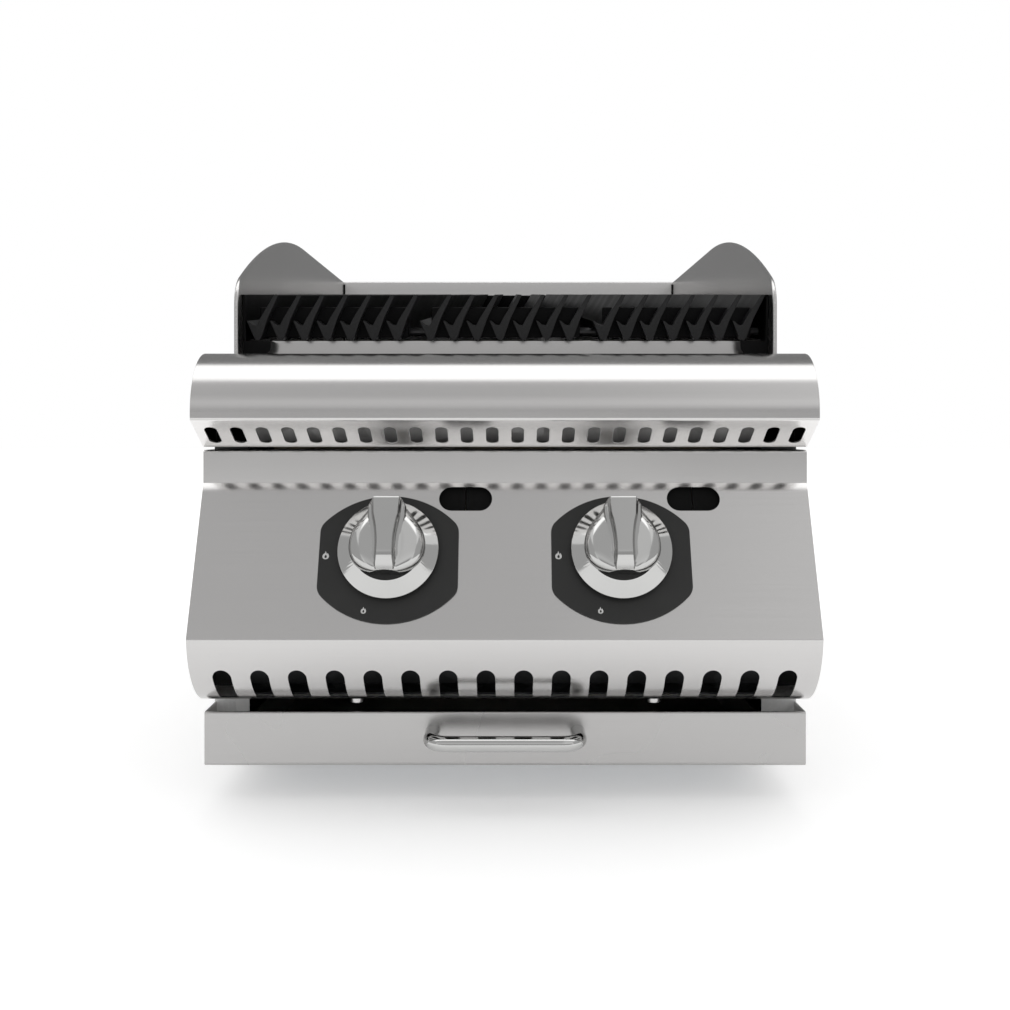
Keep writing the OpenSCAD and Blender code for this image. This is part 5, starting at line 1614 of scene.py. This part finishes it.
class GRILL_OT_lava_bed(bpy.types.Operator):
    """Breaks the lava stones of the bed, each within its own cell"""
    bl_idname = "grill.lava_bed"
    bl_label = "Lava stones"

    # Millimetres between two cells' stones, then shares of a stone's height and size, and the
    # number of lumps and pits on its way across
    gap = 1.2
    least_height = 0.70
    facet_middle = 0.62
    pit_depth = 0.03
    lump_count = 1.6
    pit_count = 5.0

    def execute(self, context):
        stones = context.scene.grill_stones
        low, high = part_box("stone_grid")
        bed_low, bed_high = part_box("lava_stones")
        cell = ((high.x - low.x) / stones.across, (high.y - low.y) / stones.along)
        tall = bed_high.z - bed_low.z
        random.seed(stones.seed)
        work = bmesh.new()
        for i in range(stones.across):
            for j in range(stones.along):
                middle = Vector((low.x + (i + 0.5) * cell[0], low.y + (j + 0.5) * cell[1], 0))
                height = tall * random.uniform(self.least_height, 1.0)
                self.add_stone(work, middle, cell, bed_low.z, height, stones)
        bed = meshed(work, "stone_bed")
        bed.data.shade_smooth()
        stand_in(bed, "lava_stones")
        return {"FINISHED"}

    def add_stone(self, work, middle, cell, floor, height, stones):
        """One stone: a lumpy ball, squared off a little and kept inside its cell."""
        made = bmesh.ops.create_icosphere(work, subdivisions=3, radius=1.0)["verts"]
        offset = Vector([random.uniform(-50, 50) for axis in range(3)])
        spin = Matrix.Rotation(random.uniform(0, math.pi), 3, Vector(
            [random.uniform(-1, 1) for axis in range(3)]).normalized())
        half = Vector(((cell[0] - self.gap * MM) / 2, (cell[1] - self.gap * MM) / 2, height / 2))
        squareness = random.uniform(0.72, 0.9)
        for vert in made:
            way = vert.co.normalized()
            lumps = noise.fractal(way * self.lump_count + offset, 1.0, 2.2, 3)
            pits = noise.cell(way * self.pit_count + offset)
            facet = max(abs(c) for c in spin @ way)
            size = 1.0 / (1.0 + (facet - self.facet_middle) * (1 - squareness))
            size *= 1 - stones.roughness * (0.55 - 0.5 * lumps) - self.pit_depth * pits
            size = min(size, 1.0)
            vert.co = middle + Vector((way.x * half.x * size, way.y * half.y * size,
                                       floor + half.z + way.z * half.z * size))


class GRILL_OT_gas_parts(bpy.types.Operator):
    """Cuts the thread of the gas inlet and adds its two nuts"""
    bl_idname = "grill.gas_parts"
    bl_label = "Gas inlet"

    # Millimetres
    thread_diameter = 20.955
    thread_pitch = 1.814
    thread_depth = 1.16
    bore = 15.0
    nut_corners = 30.0
    nut_height = 6.0
    lock_height = 3.0
    # Points round a ring, rings in one pitch, and rings over which the thread runs out
    steps = 48
    pitch_rings = 12
    runout_rings = 6

    def execute(self, context):
        low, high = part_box("gas_inlet")
        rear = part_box("rear_panel")[1].y
        middle = (low + high) / 2
        place = Matrix(((1, 0, 0, middle.x), (0, 0, 1, 0), (0, -1, 0, middle.z), (0, 0, 0, 1)))
        lock_end = rear + self.lock_height * MM
        outer = self.thread_diameter / 2 * MM
        nipple = self.nipple(outer, low.y, lock_end + 0.3 * MM, high.y, place)
        nipple = soften(nipple.piece("inlet_nipple"))
        nuts = Shape()
        self.add_nut(nuts, low.y, low.y + self.nut_height * MM, place)
        self.add_nut(nuts, rear, lock_end, place)
        nut = nuts.piece("inlet_nuts")
        carve(nut, Shape().prism(circle(outer + 0.05 * MM), low.y - MM, high.y, place))
        soften(nut, 0.3 * MM)
        stand_in(nipple, "gas_inlet")
        dress(nut, NODE_SLOTS["gas_inlet"])
        return {"FINISHED"}

    def nipple(self, outer, foot, start, end, place):
        """A pipe whose thread runs from its chamfered end down to the lock nut."""
        bore = self.bore / 2 * MM
        pitch = self.thread_pitch * MM
        run = end - start
        count = int(run / pitch * self.pitch_rings)
        rings = [ring(bore, foot + self.nut_height * MM, self.steps),
                 ring(bore, end - 0.6 * MM, self.steps), ring(bore + 0.6 * MM, end, self.steps)]
        for k in range(count + 1):
            y = end - run * k / count
            fade = min(1.0, k / self.runout_rings, (count - k) / self.runout_rings + 0.2)
            chamfer = max(0.0, 1.0 - k / 8) * 0.9 * MM
            loop = []
            for i in range(self.steps):
                phase = (y / pitch + i / self.steps) % 1.0
                valley = abs(phase - 0.5) * 2
                radius = outer - self.thread_depth * MM * (1 - valley) * fade - chamfer
                turn = 2 * math.pi * i / self.steps
                loop.append((radius * math.cos(turn), radius * math.sin(turn), y))
            rings.append(loop)
        rings += [ring(outer, start - 0.3 * MM, self.steps),
                  ring(outer, foot + 0.2 * MM, self.steps), ring(bore, foot, self.steps)]
        return Shape().loft(rings, place)

    def add_nut(self, shape, foot, top, place):
        """A hexagon whose corners are turned down."""
        across = self.nut_corners / 2 * MM
        sixth = math.pi / 6
        rings = []
        for y, share in ((foot, 0.93), (foot + 0.7 * MM, 1.0), (top - 0.7 * MM, 1.0),
                         (top, 0.93)):
            loop = []
            for i in range(self.steps):
                turn = 2 * math.pi * i / self.steps + sixth
                sector = (turn - sixth) % (2 * sixth) - sixth
                radius = min(across * math.cos(sixth) / math.cos(sector), across * share)
                loop.append((radius * math.cos(turn), radius * math.sin(turn), y))
            rings.append(loop)
        shape.loft(rings, place)


class GRILL_OT_drawer(bpy.types.Operator):
    """Folds the drawer's front, rounds the edges of the tray and bends its chromed handle"""
    bl_idname = "grill.drawer"
    bl_label = "Drawer"

    def execute(self, context):
        drawer = context.scene.grill_drawer
        self.add_front(drawer)
        eased_copy("drawer_tray", "tray_pan", 0.35 * MM)
        self.add_handle(drawer)
        return {"FINISHED"}

    def add_front(self, drawer):
        """The front: hemmed along the top, folded back at the bottom and the sides."""
        low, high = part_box("drawer_front")
        t = drawer.sheet
        corners = [(low.y + 2 * t, high.z - drawer.hem), (low.y + 2 * t, high.z),
                   (low.y, high.z), (low.y, low.z), (high.y, low.z)]
        path = rounded_path(corners, [t * 0.98, t * 0.98, 2 * t], math.radians(10))
        shape = Shape().along_x(sheet_outline(path, t * 0.96), low.x + 0.2 * MM,
                                high.x - 0.2 * MM)
        front = shape.piece("drawer_face")
        sides = Shape()
        for x in (low.x, high.x - t):
            sides.along_x(rectangle((low.y + t, low.z + t), (high.y, high.z)), x, x + t)
        cheeks = soften(sides.piece("drawer_cheeks"), 0.3 * MM)
        dress(cheeks, NODE_SLOTS["drawer_front"], "drawer")
        soften(front, 0.25 * MM)
        # Painted shade: the front gets the darker copy of the steel
        stand_in(front, "drawer_front", "drawer")

    def add_handle(self, drawer):
        """A round rod with two bends, straight out of the drawer's face."""
        low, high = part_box("drawer_front")
        z = low.z + drawer.handle_place * (high.z - low.z)
        half, bend = drawer.handle_centres / 2, drawer.handle_bend
        bow = low.y - drawer.handle_reach
        flat = half - bend
        quarter, step = math.pi / 2, math.radians(6)
        line = [(-half, low.y),
                *arc((-flat, bow + bend), bend, 2 * quarter, 3 * quarter, step),
                *[(-flat + 2 * flat * i / 8, bow) for i in range(1, 8)],
                *arc((flat, bow + bend), bend, 3 * quarter, 4 * quarter, step),
                (half, low.y)]
        route = [(x, y, z) for x, y in line]
        shape = Shape().tube(route, drawer.handle_diameter / 2, 32)
        stand_in(soften(shape.piece("handle_bow")), "drawer_handle")


class GRILL_OT_fasteners(bpy.types.Operator):
    """Makes the screws with domed heads and cross recesses"""
    bl_idname = "grill.fasteners"
    bl_label = "Screws"

    shank_radius = 1.95

    def execute(self, context):
        """Each row names a node, its piece, the heads' axis and side, their width and rise in
        millimetres, and how much higher than in the CAD they stand."""
        for row in (("lip_screws", "lip_fixings", "Z", -1, 10.3, 7.4, 3.4),
                    ("rear_screws", "rear_fixings", "Y", 1, 7.6, 2.0, 0.0),
                    ("rail_screws", "rail_fixings", "X", 0, 7.6, 2.0, 0.0)):
            self.replace_screws(*row)
        return {"FINISHED"}

    def replace_screws(self, node, name, axis, side, head, rise, proud):
        """One screw at each place where the CAD node has one, head outwards.

        A side of 0 lets each screw face away from the middle.
        """
        shape = Shape()
        cutters = Shape()
        for low, high in self.islands(node):
            middle = (low + high) / 2
            way = side or math.copysign(1, middle.x)
            index = "XYZ".index(axis)
            out = Vector((0, 0, 0))
            out[index] = way
            shank = high[index] - low[index] - rise * MM
            top = high[index] if way > 0 else low[index]
            seat = middle.copy()
            seat[index] = top - way * (rise - proud) * MM
            place = Matrix.Translation(seat) @ out.to_track_quat("Z", "X").to_matrix().to_4x4()
            self.add_screw(shape, cutters, place, head / 2 * MM, rise * MM, shank)
        piece = shape.piece(name)
        carve(piece, cutters)
        soften(piece)
        stand_in(piece, node)

    def add_screw(self, shape, cutters, place, radius, rise, shank):
        """A domed head on its shank, and the cutter of its recess."""
        straight = max(0.3 * rise, rise - 1.4 * MM)
        core = self.shank_radius * MM
        profile = [(core, -shank), (core, -0.02 * MM), (radius - 0.25 * MM, 0.0),
                   (radius, 0.25 * MM), (radius, straight)]
        for k in range(1, 9):
            turn = math.pi / 2 * k / 9
            profile.append((radius * math.cos(turn) ** 0.8,
                            straight + (rise - straight) * math.sin(turn)))
        profile.append((0.12 * radius, rise))
        shape.turned(profile, place, 40)
        levels = [self.cross(0.25 * radius, 0.11 * radius, rise * 0.35),
                  self.cross(0.5 * radius, 0.11 * radius, rise + 0.5 * MM)]
        cutters.loft(levels, place @ Matrix.Rotation(0.4, 4, "Z"))

    def cross(self, wide, thick, height):
        """The outline of a cross recess at one height."""
        arm = [(wide, -thick), (wide, thick), (thick, thick)]
        outline = []
        for quarter in range(4):
            turn = Matrix.Rotation(quarter * math.pi / 2, 2)
            outline += [tuple(turn @ Vector(p)) for p in arm]
        return [(px, py, height) for px, py in outline]

    def islands(self, node):
        """The boxes of a CAD node's separate solids."""
        work = bmesh.new()
        work.from_mesh(frame["nodes"][node].data)
        bmesh.ops.remove_doubles(work, verts=work.verts, dist=1e-6)
        seen = set()
        boxes = []
        for start in work.verts:
            if start in seen:
                continue
            stack, island = [start], []
            seen.add(start)
            while stack:
                vert = stack.pop()
                island.append(vert.co)
                for link_edge in vert.link_edges:
                    other = link_edge.other_vert(vert)
                    if other not in seen:
                        seen.add(other)
                        stack.append(other)
            boxes.append((Vector([min(c[k] for c in island) for k in range(3)]),
                          Vector([max(c[k] for c in island) for k in range(3)])))
        work.free()
        return boxes


class GRILL_PT_panel(bpy.types.Panel):
    """Lists the grill's pieces and sizes in the sidebar"""
    bl_label = "Lava stone grill"
    bl_idname = "GRILL_PT_panel"
    bl_space_type = "VIEW_3D"
    bl_region_type = "UI"
    bl_category = "Grill"

    def draw(self, context):
        layout = self.layout
        for operator in OPERATORS:
            layout.operator(operator.bl_idname)
        for name, group in GROUPS.items():
            box = layout.box()
            box.label(text=group.__doc__)
            settings = getattr(context.scene, name)
            for key in group.__annotations__:
                box.prop(settings, key)


GROUPS = {
    "grill_worktop": WorktopSizes,
    "grill_panel": PanelSizes,
    "grill_knobs": KnobSizes,
    "grill_guard": GuardSizes,
    "grill_grates": GrateSizes,
    "grill_stones": StoneSizes,
    "grill_drawer": DrawerSizes,
    "grill_colours": FinishColours,
    "grill_stage": StageLevels,
}

OPERATORS = (
    GRILL_OT_stage,
    GRILL_OT_dress_frame,
    GRILL_OT_worktop,
    GRILL_OT_control_panel,
    GRILL_OT_bezels,
    GRILL_OT_knobs,
    GRILL_OT_casing,
    GRILL_OT_guard,
    GRILL_OT_grates,
    GRILL_OT_lava_bed,
    GRILL_OT_gas_parts,
    GRILL_OT_drawer,
    GRILL_OT_fasteners,
)


def register():
    for item in (*GROUPS.values(), *OPERATORS, GRILL_PT_panel):
        bpy.utils.register_class(item)
    for name, group in GROUPS.items():
        setattr(bpy.types.Scene, name, bpy.props.PointerProperty(type=group))


def unregister():
    for name in GROUPS:
        delattr(bpy.types.Scene, name)
    for item in (GRILL_PT_panel, *reversed(OPERATORS), *reversed(GROUPS.values())):
        bpy.utils.unregister_class(item)


def main():
    register()
    bpy.context.scene.view_settings.view_transform = "Standard"
    for operator in OPERATORS:
        group, name = operator.bl_idname.split(".")
        getattr(getattr(bpy.ops, group), name)()


if __name__ == "__main__":
    main()
